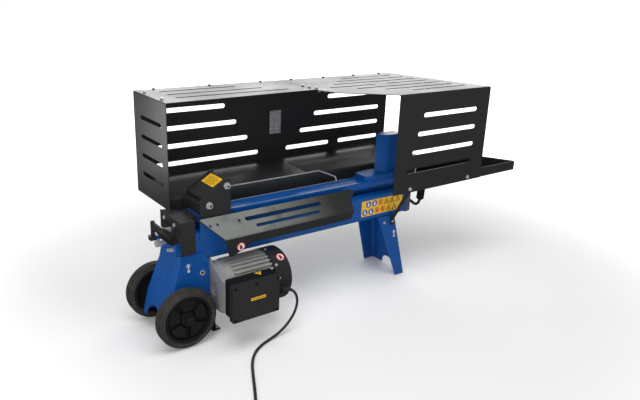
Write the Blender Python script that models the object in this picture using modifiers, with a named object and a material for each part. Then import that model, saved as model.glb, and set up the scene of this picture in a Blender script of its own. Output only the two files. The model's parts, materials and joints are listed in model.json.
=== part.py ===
"""Electric log splitter with a wire-slot guard cage, as separate named sub-parts.

Frame: metres, +Z up, X runs along the beam from the control end to the wedge end,
-Y is the operator's side.  Positions are first written from the middle of the wheel
axle's line on the floor; one parent empty then moves everything so that the middle of
the machine's footprint is at the origin.
"""
import math

import bmesh
import bpy
from mathutils import Matrix, Vector

GAP = 0.0003             # running gap between pieces that touch
SHEET = 0.002            # cage and trough sheet
PLATE = 0.003            # bracket and leg plate

# wheels
WHEEL_RADIUS = 0.078
WHEEL_WIDTH = 0.036
TRACK = 0.224            # over the outer faces of both wheels
TYRE_SECTION = 0.017
AXLE_RADIUS = 0.006
HUB_RADIUS = 0.016

# beam and rail
BEAM_LEFT = 0.045
BEAM_LENGTH = 0.750
BEAM_WIDTH = 0.100
BEAM_HEIGHT = 0.075
BEAM_WALL = 0.004
BEAM_BOTTOM = 0.201
RAIL_WIDTH = 0.062
RAIL_FLANGE = 0.020
SPINE_WIDTH = 0.024
SPINE_HEIGHT = 0.020
BEAM_RIGHT = BEAM_LEFT + BEAM_LENGTH
BEAM_TOP = BEAM_BOTTOM + BEAM_HEIGHT
RAIL_TOP = BEAM_TOP + SPINE_HEIGHT + RAIL_FLANGE

# wedge
LOG_LENGTH = 0.528       # pusher face to wedge edge, pusher back
WEDGE_HEIGHT = 0.118
WEDGE_THICKNESS = 0.040
WEDGE_DEPTH = 0.086
WEDGE_BASE = 0.015

# pusher and cylinder
PUSHER_BACK = 0.068
PUSHER_LENGTH = 0.086
PUSHER_WIDTH = 0.094
PUSHER_HIGH = 0.090      # cover above the rail at the face
PUSHER_LOW = 0.050       # cover above the rail at the rear
PUSHER_PLATE = 0.005
STROKE = 0.320
TUBE_RADIUS = 0.030
TUBE_WALL = 0.005
ROD_RADIUS = 0.011
PISTON_LENGTH = 0.020
GLAND_LENGTH = 0.024
PUSHER_FACE = PUSHER_BACK + PUSHER_LENGTH
WEDGE_EDGE = PUSHER_FACE + LOG_LENGTH
CYLINDER_Z = BEAM_BOTTOM + BEAM_HEIGHT / 2

# guard cage
CAGE_TOP = 0.592
CAGE_LEFT = 0.019
CAGE_SEAM = 0.475
CAGE_RIGHT = 0.924
CAGE_BACK = 0.227
CAGE_FRONT = -0.130
END_FRONT = 0.026
END_BOTTOM = 0.318
TROUGH_Z = 0.340
TROUGH_INNER = BEAM_WIDTH / 2 + GAP + SHEET
TROUGH_BEND = 0.022
TROUGH_LIP = 0.022       # how far each trough's lip laps the beam's side
FRONT_LEFT = 0.645
FRONT_RIGHT = 1.031
FRONT_BOTTOM = 0.297
SLOT_WIDTH = 0.013
SLOT_DROP = 0.062        # roof to the middle of the first wall slot
SLOT_FOOT = 0.0605       # end panel's foot to the middle of its last slot
SLOT_PITCH = (CAGE_TOP - SLOT_DROP - END_BOTTOM - SLOT_FOOT) / 3
FRONT_DROP = 0.065
FRONT_FOOT = 0.0659
FRONT_PITCH = (CAGE_TOP - FRONT_DROP - FRONT_BOTTOM - FRONT_FOOT) / 3
JOINT_HALF = SLOT_PITCH - 0.0145
TOP_PITCH = 0.0425
TOP_SLOT = 0.008

# front trough
FRONT_TROUGH_X0 = 0.063
FRONT_TROUGH_X1 = 0.520
FRONT_TROUGH_TOP = 0.313
FRONT_TROUGH_Y = -BEAM_WIDTH / 2 - GAP
FOLD_Y = -0.104
FOLD_Z = 0.268

# tray
TRAY_RIGHT = 1.209
TRAY_BACK = 0.015
TRAY_RIM = 0.031
TRAY_LEFT = BEAM_RIGHT - 0.068
TRAY_BACK_LEFT = BEAM_RIGHT + 0.085

# supports
BRACKET_TOP = 0.224
BRACKET_RIGHT = 0.086
BRACKET_FOOT = 0.040
LEG_TOP_LEFT = 0.665
LEG_TOP_RIGHT = 0.735
LEG_FOOT_RIGHT = 0.773
LEG_FOOT_WIDTH = 0.038
LEG_SPLAY = 0.024        # each side moves out this far at the floor
LEG_TOP = BEAM_BOTTOM - 0.0009
LEG_HALF_TOP = BEAM_WIDTH / 2
LEG_EDGE = 0.006
LEG_ARCH = 0.030

# motor
MOTOR_Y = -0.0755
MOTOR_RADIUS = 0.0715
MOTOR_CLEAR = 0.001      # between the fins and the beam above or the box beside
MOTOR_Z = BEAM_BOTTOM - MOTOR_RADIUS - MOTOR_CLEAR
MOTOR_LEFT = 0.090
BELL_LENGTH = 0.030
HOUSING_LENGTH = 0.112
FAN_COVER_LENGTH = 0.054
SHAFT_RADIUS = 0.007
BOX_X0, BOX_X1 = 0.073, 0.208
BOX_Z0, BOX_Z1 = MOTOR_Z - 0.0405, MOTOR_Z + 0.0565
BOX_BACK = MOTOR_Y - MOTOR_RADIUS - MOTOR_CLEAR
BOX_BASE = 0.032
BOX_LID = 0.020
BOX_WALL = 0.003

# mains cord
CORD_DIAMETER = 0.007
COIL_INNER, COIL_OUTER = 0.034, 0.0482
COIL_HEIGHT = 3 * CORD_DIAMETER

# draw bars, cylinder and valve
DRAWBAR = 0.005                                   # thickness of each draw bar
DRAWBAR_Y = SPINE_WIDTH / 2 + 0.003 + DRAWBAR / 2
TUBE_LEFT = BEAM_LEFT + 0.004
TUBE_RIGHT = TUBE_LEFT + STROKE + PISTON_LENGTH + 0.012
LUG_LENGTH = 0.018
LUG_X = TUBE_RIGHT + GLAND_LENGTH + 0.004 + LUG_LENGTH / 2
LEVER_Y = -0.004
LEVER_Z = 0.283
PIVOT_Y = 0.041

# bolts and the side to which each sheet is thickened
LEG_BOLT_X = 0.722
LEG_BOLT_Z = 0.180
STRUT = 0.003
FRONT_BOLTS = (FRONT_LEFT + 0.067, FRONT_RIGHT - 0.064)
APRON_BOTTOM = 0.216
FACE_BOTTOM = 0.243
LEG_SIDE = -1.0
ROOF_SIDE = 1.0
SHEET_SIDE = 1.0
TROUGH_SIDE = 1.0
TRAY_SIDE = -1.0

# gland, coil and plug of the mains cord, and its route
GLAND_LENGTH_OUT = 0.028
GLAND_AT = (BOX_X1, BOX_BACK - 0.020, 0.122)
COIL_AT = (0.0062, -0.5127)
PLUG_AT = (COIL_AT[0], COIL_AT[1] - COIL_OUTER - GAP - 0.018)
CORD_ROUTE = [
    (0.2365, -0.168, 0.122), (0.248, -0.168, 0.1215), (0.261, -0.169, 0.117),
    (0.272, -0.170, 0.108), (0.279, -0.172, 0.094), (0.279, -0.175, 0.076),
    (0.271, -0.178, 0.056), (0.256, -0.181, 0.038), (0.235, -0.184, 0.022),
    (0.210, -0.187, 0.0105), (0.185, -0.191, 0.0052), (0.160, -0.199, 0.0041),
    (0.134, -0.213, 0.0041), (0.111, -0.233, 0.0041), (0.091, -0.259, 0.0041),
    (0.073, -0.290, 0.0041), (0.055, -0.324, 0.0041), (0.037, -0.358, 0.0041),
    (0.018, -0.392, 0.0041), (-0.001, -0.425, 0.0041), (-0.020, -0.456, 0.0041),
    (-0.038, -0.486, 0.0041)]

# everything is measured from the axle line; the footprint's middle is the origin
FOOTPRINT_X = (-WHEEL_RADIUS, TRAY_RIGHT)
FOOTPRINT_Y = (BOX_BACK - BOX_BASE - BOX_LID, CAGE_BACK)

BLUE = ("blue_paint", (0.010, 0.090, 0.330), 0.38, 0.0)
BLACK = ("black_paint", (0.020, 0.021, 0.022), 0.42, 0.0)
WORN = ("worn_steel", (0.200, 0.205, 0.190), 0.45, 0.3)
STEEL = ("bright_steel", (0.560, 0.570, 0.580), 0.28, 1.0)
CAST = ("cast_aluminium", (0.360, 0.360, 0.350), 0.50, 0.7)
GREY = ("grey_cap", (0.230, 0.230, 0.220), 0.55, 0.0)
PLASTIC = ("black_plastic", (0.018, 0.018, 0.019), 0.50, 0.0)
RUBBER = ("tyre_rubber", (0.055, 0.053, 0.050), 0.80, 0.0)
COPPER = ("copper_winding", (0.500, 0.190, 0.070), 0.40, 0.8)
WHITE = ("white_zinc", (0.700, 0.700, 0.680), 0.30, 0.9)
CORD = ("cord_rubber", (0.020, 0.020, 0.021), 0.60, 0.0)


def clear_scene():
    for obj in list(bpy.data.objects):
        bpy.data.objects.remove(obj, do_unlink=True)
    for name in ("log_splitter", "cutters"):
        group = bpy.data.collections.new(name)
        bpy.context.scene.collection.children.link(group)


def surface(spec):
    name, colour, roughness, metallic = spec
    found = bpy.data.materials.get(name)
    if found:
        return found
    made = bpy.data.materials.new(name)
    made.use_nodes = True
    shader = made.node_tree.nodes["Principled BSDF"]
    shader.inputs["Base Color"].default_value = (*colour, 1.0)
    shader.inputs["Roughness"].default_value = roughness
    shader.inputs["Metallic"].default_value = metallic
    made.diffuse_color = (*colour, 1.0)
    return made


def add(name, data, at, finish, turn=None):
    """Put one piece in the model's collection, under the frame empty."""
    obj = bpy.data.objects.new(name, data)
    bpy.data.collections["log_splitter"].objects.link(obj)
    obj.parent = bpy.data.objects["machine_frame"]
    obj.location = at
    if turn is not None:
        obj.rotation_euler = turn.to_euler() if isinstance(turn, Matrix) else turn
    data.materials.append(surface(finish))
    return obj


def mesh_from(bm, name):
    bmesh.ops.recalc_face_normals(bm, faces=bm.faces)
    data = bpy.data.meshes.new(name)
    bm.to_mesh(data)
    bm.free()
    return data


def smooth(obj, degrees=35):
    obj.data.shade_smooth()
    obj.data.set_sharp_from_angle(angle=math.radians(degrees))


def bevel(obj, width, segments=2, angle=30):
    mod = obj.modifiers.new("edges", "BEVEL")
    mod.width = width
    mod.segments = segments
    mod.limit_method = "ANGLE"
    mod.angle_limit = math.radians(angle)
    return mod


def box(name, low, high, finish, edge=0.0):
    low, high = Vector(low), Vector(high)
    bm = bmesh.new()
    bmesh.ops.create_cube(bm, size=1.0)
    bmesh.ops.scale(bm, vec=high - low, verts=bm.verts)
    obj = add(name, mesh_from(bm, name), (low + high) / 2, finish)
    if edge:
        bevel(obj, edge)
    return obj


AXIS_TURN = {"X": Matrix.Rotation(math.radians(90), 3, "Y"),
             "Y": Matrix.Rotation(math.radians(-90), 3, "X"),
             "Z": Matrix.Identity(3)}


def turned(name, profile, at, axis, finish, steps=32, closed=False):
    """Turn (radius, along) points, given down the outer side, round an axis."""
    bm = bmesh.new()
    verts = [bm.verts.new((r, 0.0, h)) for r, h in profile]
    pairs = list(zip(verts, verts[1:])) + ([(verts[-1], verts[0])] if closed else [])
    for a, b in pairs:
        bm.edges.new((a, b))
    data = bpy.data.meshes.new(name)
    bm.to_mesh(data)
    bm.free()
    obj = add(name, data, at, finish, AXIS_TURN[axis])
    screw = obj.modifiers.new("turn", "SCREW")
    screw.axis = "Z"
    screw.angle = math.tau
    screw.steps = steps
    screw.render_steps = steps
    screw.use_merge_vertices = True
    screw.merge_threshold = 0.00001
    screw.use_smooth_shade = True
    return obj


def rod(name, radius, start, end, centre, axis, finish, steps=24):
    """A solid bar from start to end along an axis through centre."""
    profile = [(0.0, end), (radius, end), (radius, start), (0.0, start)]
    at = list(centre)
    at["XYZ".index(axis)] = 0.0
    return turned(name, profile, at, axis, finish, steps)


def ring(name, inner, outer, start, end, centre, axis, finish, steps=32):
    profile = [(outer, end), (outer, start), (inner, start), (inner, end)]
    at = list(centre)
    at["XYZ".index(axis)] = 0.0
    return turned(name, profile, at, axis, finish, steps, closed=True)


def outline_curve(name, outlines, thickness):
    """A filled 2D curve; an outline inside another one is a hole."""
    curve = bpy.data.curves.new(name, "CURVE")
    curve.dimensions = "2D"
    curve.fill_mode = "BOTH"
    curve.extrude = thickness / 2
    for points in outlines:
        spline = curve.splines.new("POLY")
        spline.points.add(len(points) - 1)
        for point, (x, y) in zip(spline.points, points):
            point.co = (x, y, 0.0, 1.0)
        spline.use_cyclic_u = True
    return curve


# how the two drawing axes of a flat outline lie in the machine
FACING = {"XY": Matrix(((1, 0, 0), (0, 1, 0), (0, 0, 1))),
          "XZ": Matrix(((1, 0, 0), (0, 0, -1), (0, 1, 0))),
          "YZ": Matrix(((0, 0, 1), (1, 0, 0), (0, 1, 0)))}


def plate(name, outlines, thickness, plane, at, finish):
    """A flat plate: outlines in two machine axes, centred on its thickness."""
    return add(name, outline_curve(name, outlines, thickness), at, finish, FACING[plane])


def as_mesh(obj):
    """The same piece as a mesh with welded caps, ready to be cut."""
    name = obj.name
    depsgraph = bpy.context.evaluated_depsgraph_get()
    data = bpy.data.meshes.new_from_object(obj.evaluated_get(depsgraph))
    bm = bmesh.new()
    bm.from_mesh(data)
    bmesh.ops.remove_doubles(bm, verts=bm.verts, dist=0.00001)
    bm.to_mesh(data)
    bm.free()
    made = bpy.data.objects.new(name + "_mesh", data)
    for group in obj.users_collection:
        group.objects.link(made)
    made.parent = obj.parent
    made.location = obj.location
    made.rotation_euler = obj.rotation_euler
    bpy.data.objects.remove(obj, do_unlink=True)
    made.name = name
    return made


def cutter(obj):
    """Turn a piece into a hidden cutting tool."""
    bpy.data.collections["log_splitter"].objects.unlink(obj)
    bpy.data.collections["cutters"].objects.link(obj)
    obj.hide_render = True
    obj.display_type = "WIRE"
    return obj


def combine(obj, tool, operation="DIFFERENCE"):
    mod = obj.modifiers.new(operation.lower(), "BOOLEAN")
    mod.operation = operation
    mod.solver = "EXACT"
    mod.object = cutter(tool)
    return mod


def slot(x0, x1, y, width):
    """A slot with round ends, from x0 to x1, about the line y."""
    r = width / 2
    steps = 5
    right = [(x1 - r + r * math.cos(a), y + r * math.sin(a))
             for a in (math.pi * (i / steps - 0.5) for i in range(steps + 1))]
    left = [(x0 + r + r * math.cos(a), y + r * math.sin(a))
            for a in (math.pi * (i / steps + 0.5) for i in range(steps + 1))]
    return right + left


def circle(x, y, radius, count=14):
    return [(x + radius * math.cos(math.tau * i / count),
             y + radius * math.sin(math.tau * i / count)) for i in range(count)]


def rounded(points, radius, steps=3):
    """The same polygon with its corners rounded."""
    result = []
    count = len(points)
    for i, corner in enumerate(points):
        here = Vector(corner)
        before = (Vector(points[i - 1]) - here).normalized()
        after = (Vector(points[(i + 1) % count]) - here).normalized()
        a, b = here + before * radius, here + after * radius
        for k in range(steps + 1):
            t = k / steps
            p = a.lerp(here, t).lerp(here.lerp(b, t), t)
            result.append((p.x, p.y))
    return result


def arc(y, z, radius, start, end, steps):
    """Points on an arc, angles in degrees."""
    return [(y + radius * math.cos(math.radians(start + (end - start) * i / steps)),
             z + radius * math.sin(math.radians(start + (end - start) * i / steps)))
            for i in range(steps + 1)]


def folded(name, profile, x0, x1, thickness, finish, side=1.0):
    """A folded sheet: a (y, z) profile run along X, thickened to one side."""
    bm = bmesh.new()
    rows = [[bm.verts.new((x, y, z)) for y, z in profile] for x in (x0, x1)]
    for i in range(len(profile) - 1):
        bm.faces.new((rows[0][i], rows[1][i], rows[1][i + 1], rows[0][i + 1]))
    data = bpy.data.meshes.new(name)
    bm.to_mesh(data)
    bm.free()
    obj = add(name, data, (0, 0, 0), finish)
    thicken(obj, thickness, side)
    return obj


def thicken(obj, thickness, side=1.0):
    mod = obj.modifiers.new("sheet", "SOLIDIFY")
    mod.thickness = thickness
    mod.offset = side
    mod.use_even_offset = True


def slots_tool(name, outlines, depth, plane, at):
    return as_mesh(plate(name, outlines, depth, plane, at, BLACK))


# ---------------------------------------------------------------- frame and beam

def beam():
    low = (BEAM_LEFT, -BEAM_WIDTH / 2, BEAM_BOTTOM)
    high = (BEAM_RIGHT, BEAM_WIDTH / 2, BEAM_TOP)
    outer = rounded([(low[1], low[2]), (high[1], low[2]), (high[1], high[2]),
                     (low[1], high[2])], 0.006)
    wall = BEAM_WALL
    inner = rounded([(low[1] + wall, low[2] + wall), (high[1] - wall, low[2] + wall),
                     (high[1] - wall, high[2] - wall), (low[1] + wall, high[2] - wall)], 0.003)
    body = as_mesh(plate("beam_box", [outer, inner], BEAM_LENGTH, "YZ",
                         (BEAM_LEFT + BEAM_LENGTH / 2, 0, 0), BLUE))
    slots = [slot(LUG_X - LUG_LENGTH / 2 - 0.004, LUG_X + STROKE + LUG_LENGTH / 2 + 0.004,
                  side * DRAWBAR_Y, DRAWBAR + 0.002) for side in (-1, 1)]
    combine(body, slots_tool("beam_slots", slots, 4 * BEAM_WALL, "XY", (0, 0, BEAM_TOP)))

    flange = RAIL_WIDTH / 2
    spine = SPINE_WIDTH / 2
    z0, z1, z2 = BEAM_TOP + GAP, BEAM_TOP + SPINE_HEIGHT, RAIL_TOP
    profile = [(-spine, z0), (spine, z0), (spine, z1), (flange, z1), (flange, z2 - 0.002),
               (flange - 0.002, z2), (-flange + 0.002, z2), (-flange, z2 - 0.002),
               (-flange, z1), (-spine, z1)]
    plate("guide_rail", [profile], BEAM_LENGTH - 0.004, "YZ",
          (BEAM_LEFT + BEAM_LENGTH / 2, 0, 0), BLUE)

    box("beam_end_cap", (BEAM_RIGHT + GAP, -BEAM_WIDTH / 2, BEAM_BOTTOM),
        (BEAM_RIGHT + 0.006, BEAM_WIDTH / 2, BEAM_TOP), GREY, 0.001)


def wedge():
    x0, x1 = WEDGE_EDGE, WEDGE_EDGE + WEDGE_DEPTH
    half = WEDGE_THICKNESS / 2
    nose = 0.035
    base = rounded([(x0 - 0.055, -RAIL_WIDTH / 2 + 0.006), (x0 - 0.01, -RAIL_WIDTH / 2),
                    (BEAM_RIGHT - 0.004, -RAIL_WIDTH / 2), (BEAM_RIGHT - 0.004, RAIL_WIDTH / 2),
                    (x0 - 0.01, RAIL_WIDTH / 2), (x0 - 0.055, RAIL_WIDTH / 2 - 0.006)], 0.004)
    foot = as_mesh(plate("wedge_foot", [base], WEDGE_BASE, "XY",
                         (0, 0, RAIL_TOP + GAP + WEDGE_BASE / 2), BLUE))
    blade = [(x0, 0.0), (x0 + nose, -half), (x1, -half), (x1, half), (x0 + nose, half)]
    weld = 0.002
    tall = WEDGE_HEIGHT + weld
    body = as_mesh(plate("splitting_wedge", [blade], tall, "XY",
                         (0, 0, RAIL_TOP + WEDGE_BASE - weld + tall / 2), BLUE))
    combine(body, foot, "UNION")


# ---------------------------------------------------------------- pusher and cylinder


def pusher():
    half = PUSHER_WIDTH / 2
    x0, x1 = PUSHER_BACK, PUSHER_FACE
    low, high = RAIL_TOP + PUSHER_LOW, RAIL_TOP + PUSHER_HIGH
    foot = BEAM_TOP + 0.012
    side = rounded([(x0, foot), (x1, foot), (x1, high - 0.006), (x1 - 0.006, high),
                    (x0 + 0.008, low), (x0, low - 0.012)], 0.004)
    bolts = [(x1 - 0.012, RAIL_TOP + 0.071), (x0 + 0.024, RAIL_TOP + 0.027)]
    holes = [circle(x, z, 0.0045) for x, z in bolts]
    for label, sign in (("front", -1), ("rear", 1)):
        plate("pusher_side_plate_" + label, [side] + holes, PUSHER_PLATE, "XZ",
              (0, sign * (half - PUSHER_PLATE / 2), 0), BLACK)

    inner = half - PUSHER_PLATE - GAP
    slope = (high - low) / (x1 - x0 - 0.014)
    drop = 0.004
    face = 0.012
    body = [(x1 - face, RAIL_TOP + GAP), (x1 - 0.0005, RAIL_TOP + GAP), (x1 - 0.0005, high - 0.008),
            (x1 - 0.008, high - drop), (x0 + 0.010, low - drop),
            (x0 + 0.010, low - drop - 0.006), (x1 - face - 0.008, high - drop - 0.013),
            (x1 - face, high - drop - 0.020)]
    body += [(x1 - face, RAIL_TOP + 0.036), (x0 + 0.016, RAIL_TOP + 0.036),
             (x0 + 0.004, RAIL_TOP + 0.028), (x0 + 0.004, RAIL_TOP + GAP)]
    body_obj = as_mesh(plate("pusher_body", [body[1:]], 2 * inner, "XZ", (0, 0, 0), BLACK))
    combine(body_obj, slots_tool("body_bolt_holes", holes, 0.2, "XZ", (0, 0, 0)))
    for label, (x, z) in zip(("upper", "lower"), bolts):
        profile = [(0.0, half), (0.0042, half), (0.0042, -half - 0.0012), (0.0095, -half - 0.0012),
                   (0.0095, -half - 0.0030), (0.0068, -half - 0.0030), (0.0068, -half - 0.0090),
                   (0.0058, -half - 0.0100), (0.0, -half - 0.0100)]
        turned("pusher_bolt_" + label, profile, (x, 0, z), "Y", STEEL, 20)

    # shoes that hook under the rail's flanges and carry the draw bars
    for label, sign in (("front", -1), ("rear", 1)):
        outer = half - PUSHER_PLATE - GAP
        flange = RAIL_WIDTH / 2 + 0.0008
        z_low, z_hook = BEAM_TOP + 0.012, BEAM_TOP + SPINE_HEIGHT - 0.0008
        shoe = [(outer, z_low), (outer, RAIL_TOP - 0.0003), (flange, RAIL_TOP - 0.0003),
                (flange, z_hook), (SPINE_WIDTH / 2 + 0.010, z_hook),
                (SPINE_WIDTH / 2 + 0.010, z_low)]
        shoe = [(sign * y, z) for y, z in shoe]
        plate("pusher_shoe_" + label, [shoe], PUSHER_LENGTH - 0.012, "YZ",
              ((x0 + x1) / 2, 0, 0), STEEL)


def cylinder():
    centre = (0, 0, CYLINDER_Z)
    bore = TUBE_RADIUS - TUBE_WALL
    ring("cylinder_tube", bore, TUBE_RADIUS, TUBE_LEFT, TUBE_RIGHT, centre, "X", STEEL)
    inner = ROD_RADIUS + GAP
    gland_x = TUBE_RIGHT + GAP
    profile = [(TUBE_RADIUS, gland_x + GLAND_LENGTH), (TUBE_RADIUS, gland_x),
               (bore - GAP, gland_x), (bore - GAP, gland_x - 0.008), (inner, gland_x - 0.008),
               (inner, gland_x + GLAND_LENGTH)]
    turned("cylinder_gland", profile, centre, "X", CAST, closed=True)
    piston_x = TUBE_LEFT + 0.003
    profile = [(bore - GAP, piston_x + PISTON_LENGTH), (bore - GAP, piston_x + 0.013),
               (bore - 0.002, piston_x + 0.012), (bore - 0.002, piston_x + 0.008),
               (bore - GAP, piston_x + 0.007), (bore - GAP, piston_x)]
    turned("piston", [(0.0, piston_x + PISTON_LENGTH)] + profile + [(0.0, piston_x)],
           centre, "X", CAST)
    rod("piston_rod", ROD_RADIUS, piston_x + PISTON_LENGTH + GAP, LUG_X - LUG_LENGTH / 2 - GAP,
        centre, "X", STEEL)

    # crosshead at the rod's end, its two lugs and the bars back to the pusher
    lug = DRAWBAR_Y + DRAWBAR / 2
    head = box("crosshead", (LUG_X - LUG_LENGTH / 2, -lug, CYLINDER_Z - 0.014),
               (LUG_X + LUG_LENGTH / 2, lug, BEAM_TOP - BEAM_WALL - 0.002), CAST)
    for sign in (-1, 1):
        y = sign * DRAWBAR_Y
        tool = as_mesh(plate("drawbar_tool_%d" % sign, [[
            (LUG_X - LUG_LENGTH / 2, CYLINDER_Z), (LUG_X + LUG_LENGTH / 2, CYLINDER_Z),
            (LUG_X + LUG_LENGTH / 2, BEAM_TOP + 0.011), (PUSHER_BACK + 0.010, BEAM_TOP + 0.011),
            (PUSHER_BACK + 0.010, BEAM_TOP + 0.001),
            (LUG_X - LUG_LENGTH / 2, BEAM_TOP + 0.001)]], DRAWBAR, "XZ", (0, y, 0), CAST))
        combine(head, tool, "UNION")


# ---------------------------------------------------------------- control end

def control_end():
    x0 = CAGE_LEFT - 0.013
    top = END_BOTTOM - GAP
    block_left = x0 + PLATE + GAP
    arm_x = x0 - 0.027
    body = box("hydraulic_block", (block_left, -0.046, BEAM_BOTTOM + 0.022),
               (BEAM_LEFT - GAP, 0.046, RAIL_TOP - 0.010), BLUE)
    nose_top = top - 0.061
    nose = box("block_nose", (x0 - 0.007, -0.046, BEAM_BOTTOM + 0.024),
               (block_left + 0.010, 0.034, nose_top), BLUE)
    lug = box("block_lug", (arm_x - 0.010, PIVOT_Y - 0.008, nose_top - 0.012),
              (block_left + 0.010, PIVOT_Y + 0.008, nose_top), BLUE)
    combine(body, nose, "UNION")
    combine(body, lug, "UNION")
    bore = [circle(LEVER_Y, LEVER_Z, 0.0065)]
    combine(body, slots_tool("spool_bore", bore, 0.2, "YZ", (0, 0, 0)))
    pin = [circle(arm_x, PIVOT_Y, 0.0043)]
    combine(body, slots_tool("pin_bore", pin, 0.1, "XY", (0, 0, nose_top)))

    # guard bracket round the lever: top plate, end face and front cheek in one sheet
    side_y = -0.065
    cheek = [(x0, BEAM_BOTTOM + 0.029), (x0 + 0.038, BEAM_BOTTOM + 0.029), (x0 + 0.038, top),
             (x0, top)]
    guard = as_mesh(plate("lever_guard", [cheek], PLATE, "XZ", (0, side_y + PLATE / 2, 0), BLACK))
    roof = as_mesh(plate("guard_roof", [[(x0, side_y), (x0 + 0.038, side_y),
                                         (x0 + 0.038, 0.020), (x0 + 0.024, 0.049),
                                         (x0, 0.049)]], PLATE, "XY",
                         (0, 0, top - PLATE / 2), BLACK))
    face = as_mesh(plate("guard_face", [[(side_y, top - 0.060), (0.054, top - 0.046),
                                         (0.054, top), (side_y, top)],
                                        circle(0.028, top - 0.026, 0.004),
                                        circle(-0.030, top - 0.027, 0.004),
                                        circle(LEVER_Y, LEVER_Z, 0.0075)], PLATE, "YZ",
                         (x0 + PLATE / 2, 0, 0), BLACK))
    combine(guard, roof, "UNION")
    combine(guard, face, "UNION")

    # the lever swings on its pin and its flank pushes the spool
    rod("valve_spool", 0.0060, arm_x + 0.003 + GAP, block_left + 0.020, (0, LEVER_Y, LEVER_Z),
        "X", STEEL)
    front = LEVER_Y - 0.011
    arm = box("control_lever", (arm_x - 0.003, front, LEVER_Z - 0.010),
              (arm_x + 0.003, PIVOT_Y + 0.006, LEVER_Z + 0.010), STEEL)
    pivot = Vector((arm_x, PIVOT_Y, LEVER_Z))
    arm.data.transform(Matrix.Translation(arm.location - pivot))
    arm.location = pivot
    profile = [(0.0, 0.012), (0.0055, 0.012), (0.0055, nose_top + GAP - LEVER_Z),
               (0.0040, nose_top + GAP - LEVER_Z), (0.0040, nose_top - 0.011 - LEVER_Z),
               (0.0, nose_top - 0.011 - LEVER_Z)]
    boss = turned("lever_pin", profile, pivot, "Z", STEEL, 20)
    combine(arm, boss, "UNION")
    profile = [(0.0, 0.0), (0.009, 0.0), (0.0125, -0.004), (0.0125, -0.060), (0.011, -0.066),
               (0.0, -0.066)]
    turned("lever_knob", profile, (arm_x, front - GAP, LEVER_Z), "Y", PLASTIC, 24)

    screw = [(0.0, 0.0), (0.006, 0.0), (0.006, -0.016), (0.0095, -0.016), (0.0095, -0.028),
             (0.006, -0.030), (0.0, -0.030)]
    turned("pressure_screw", screw, (x0 - 0.007 - GAP, 0.006, BEAM_BOTTOM + 0.046), "X", STEEL,
           6)


# ---------------------------------------------------------------- supports

def loft_sheet(name, sections, thickness, finish, side=1.0):
    """An open sheet through sections that have the same number of points."""
    bm = bmesh.new()
    rows = [[bm.verts.new(p) for p in section] for section in sections]
    for low, high in zip(rows, rows[1:]):
        for i in range(len(low) - 1):
            bm.faces.new((low[i], low[i + 1], high[i + 1], high[i]))
    data = bpy.data.meshes.new(name)
    bm.to_mesh(data)
    bm.free()
    obj = add(name, data, (0, 0, 0), finish)
    thicken(obj, thickness, side)
    return obj


def wheel_bracket():
    """A trapezoid U of sheet round the beam's control end, carried by the axle."""
    sections = []
    snug = BEAM_WIDTH / 2 + PLATE / 2 + GAP
    for z, left, half, right in ((BRACKET_FOOT, -0.047, 0.071, BRACKET_RIGHT - 0.006),
                                 (0.106, -0.035, 0.064, BRACKET_RIGHT - 0.004),
                                 (BEAM_BOTTOM - 0.003, -0.004, snug, BRACKET_RIGHT),
                                 (BRACKET_TOP, 0.001, snug, BRACKET_RIGHT - 0.016)):
        corner = 0.010
        sections.append([(right, half, z), (left + corner, half, z), (left, half - corner, z),
                         (left, -half + corner, z), (left + corner, -half, z),
                         (right, -half, z)])
    body = loft_sheet("wheel_bracket", sections, PLATE, BLUE, side=0.0)
    arch = slots_tool("bracket_arch", [circle(0.0, BRACKET_FOOT - 0.004, 0.044, 20)], 0.060,
                      "YZ", (-0.045, 0, 0))
    combine(body, arch)
    holes = slots_tool("axle_holes", [circle(0.0, WHEEL_RADIUS, AXLE_RADIUS + GAP, 24)], 0.4,
                       "XZ", (0, 0, 0))
    combine(body, holes)


def wheels():
    outer = TRACK / 2
    inner = outer - WHEEL_WIDTH
    centre = (0, 0, WHEEL_RADIUS)
    rod("axle", AXLE_RADIUS, -outer - 0.004, outer + 0.004, centre, "Y", STEEL)
    rim = WHEEL_RADIUS - TYRE_SECTION
    for label, sign in (("front", -1), ("rear", 1)):
        mid = sign * (outer + inner) / 2
        half = WHEEL_WIDTH / 2
        tread = [(WHEEL_RADIUS - 0.004, half), (WHEEL_RADIUS, half - 0.006),
                 (WHEEL_RADIUS, -half + 0.006), (WHEEL_RADIUS - 0.004, -half),
                 (rim + 0.002, -half), (rim, -half + 0.003), (rim, half - 0.003),
                 (rim + 0.002, half)]
        turned("tyre_" + label, tread, (0, mid, WHEEL_RADIUS), "Y", RUBBER, 48, closed=True)
        bore = AXLE_RADIUS + GAP
        barrel = rim - GAP
        web = 0.004
        hub_half = half - 0.001
        profile = [(barrel, half - 0.002), (barrel, -half + 0.002), (barrel - 0.006, -half + 0.002),
                   (barrel - 0.006, -web), (HUB_RADIUS, -web), (HUB_RADIUS, -hub_half),
                   (bore, -hub_half), (bore, hub_half), (HUB_RADIUS, hub_half),
                   (HUB_RADIUS, web), (barrel - 0.006, web), (barrel - 0.006, half - 0.002)]
        turned("wheel_hub_" + label, profile, (0, mid, WHEEL_RADIUS), "Y", PLASTIC, 40,
               closed=True)
        y = sign * (outer + 0.0005)
        cap = [(0.0, 0.009), (0.009, 0.009), (0.012, 0.006), (0.012, 0.0),
               (AXLE_RADIUS + GAP, 0.0), (AXLE_RADIUS + GAP, 0.0045), (0.0, 0.0045)]
        if sign < 0:
            cap = [(r, -h) for r, h in reversed(cap)]
        turned("axle_cap_" + label, cap, (0, y, WHEEL_RADIUS), "Y", PLASTIC, 24)


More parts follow.
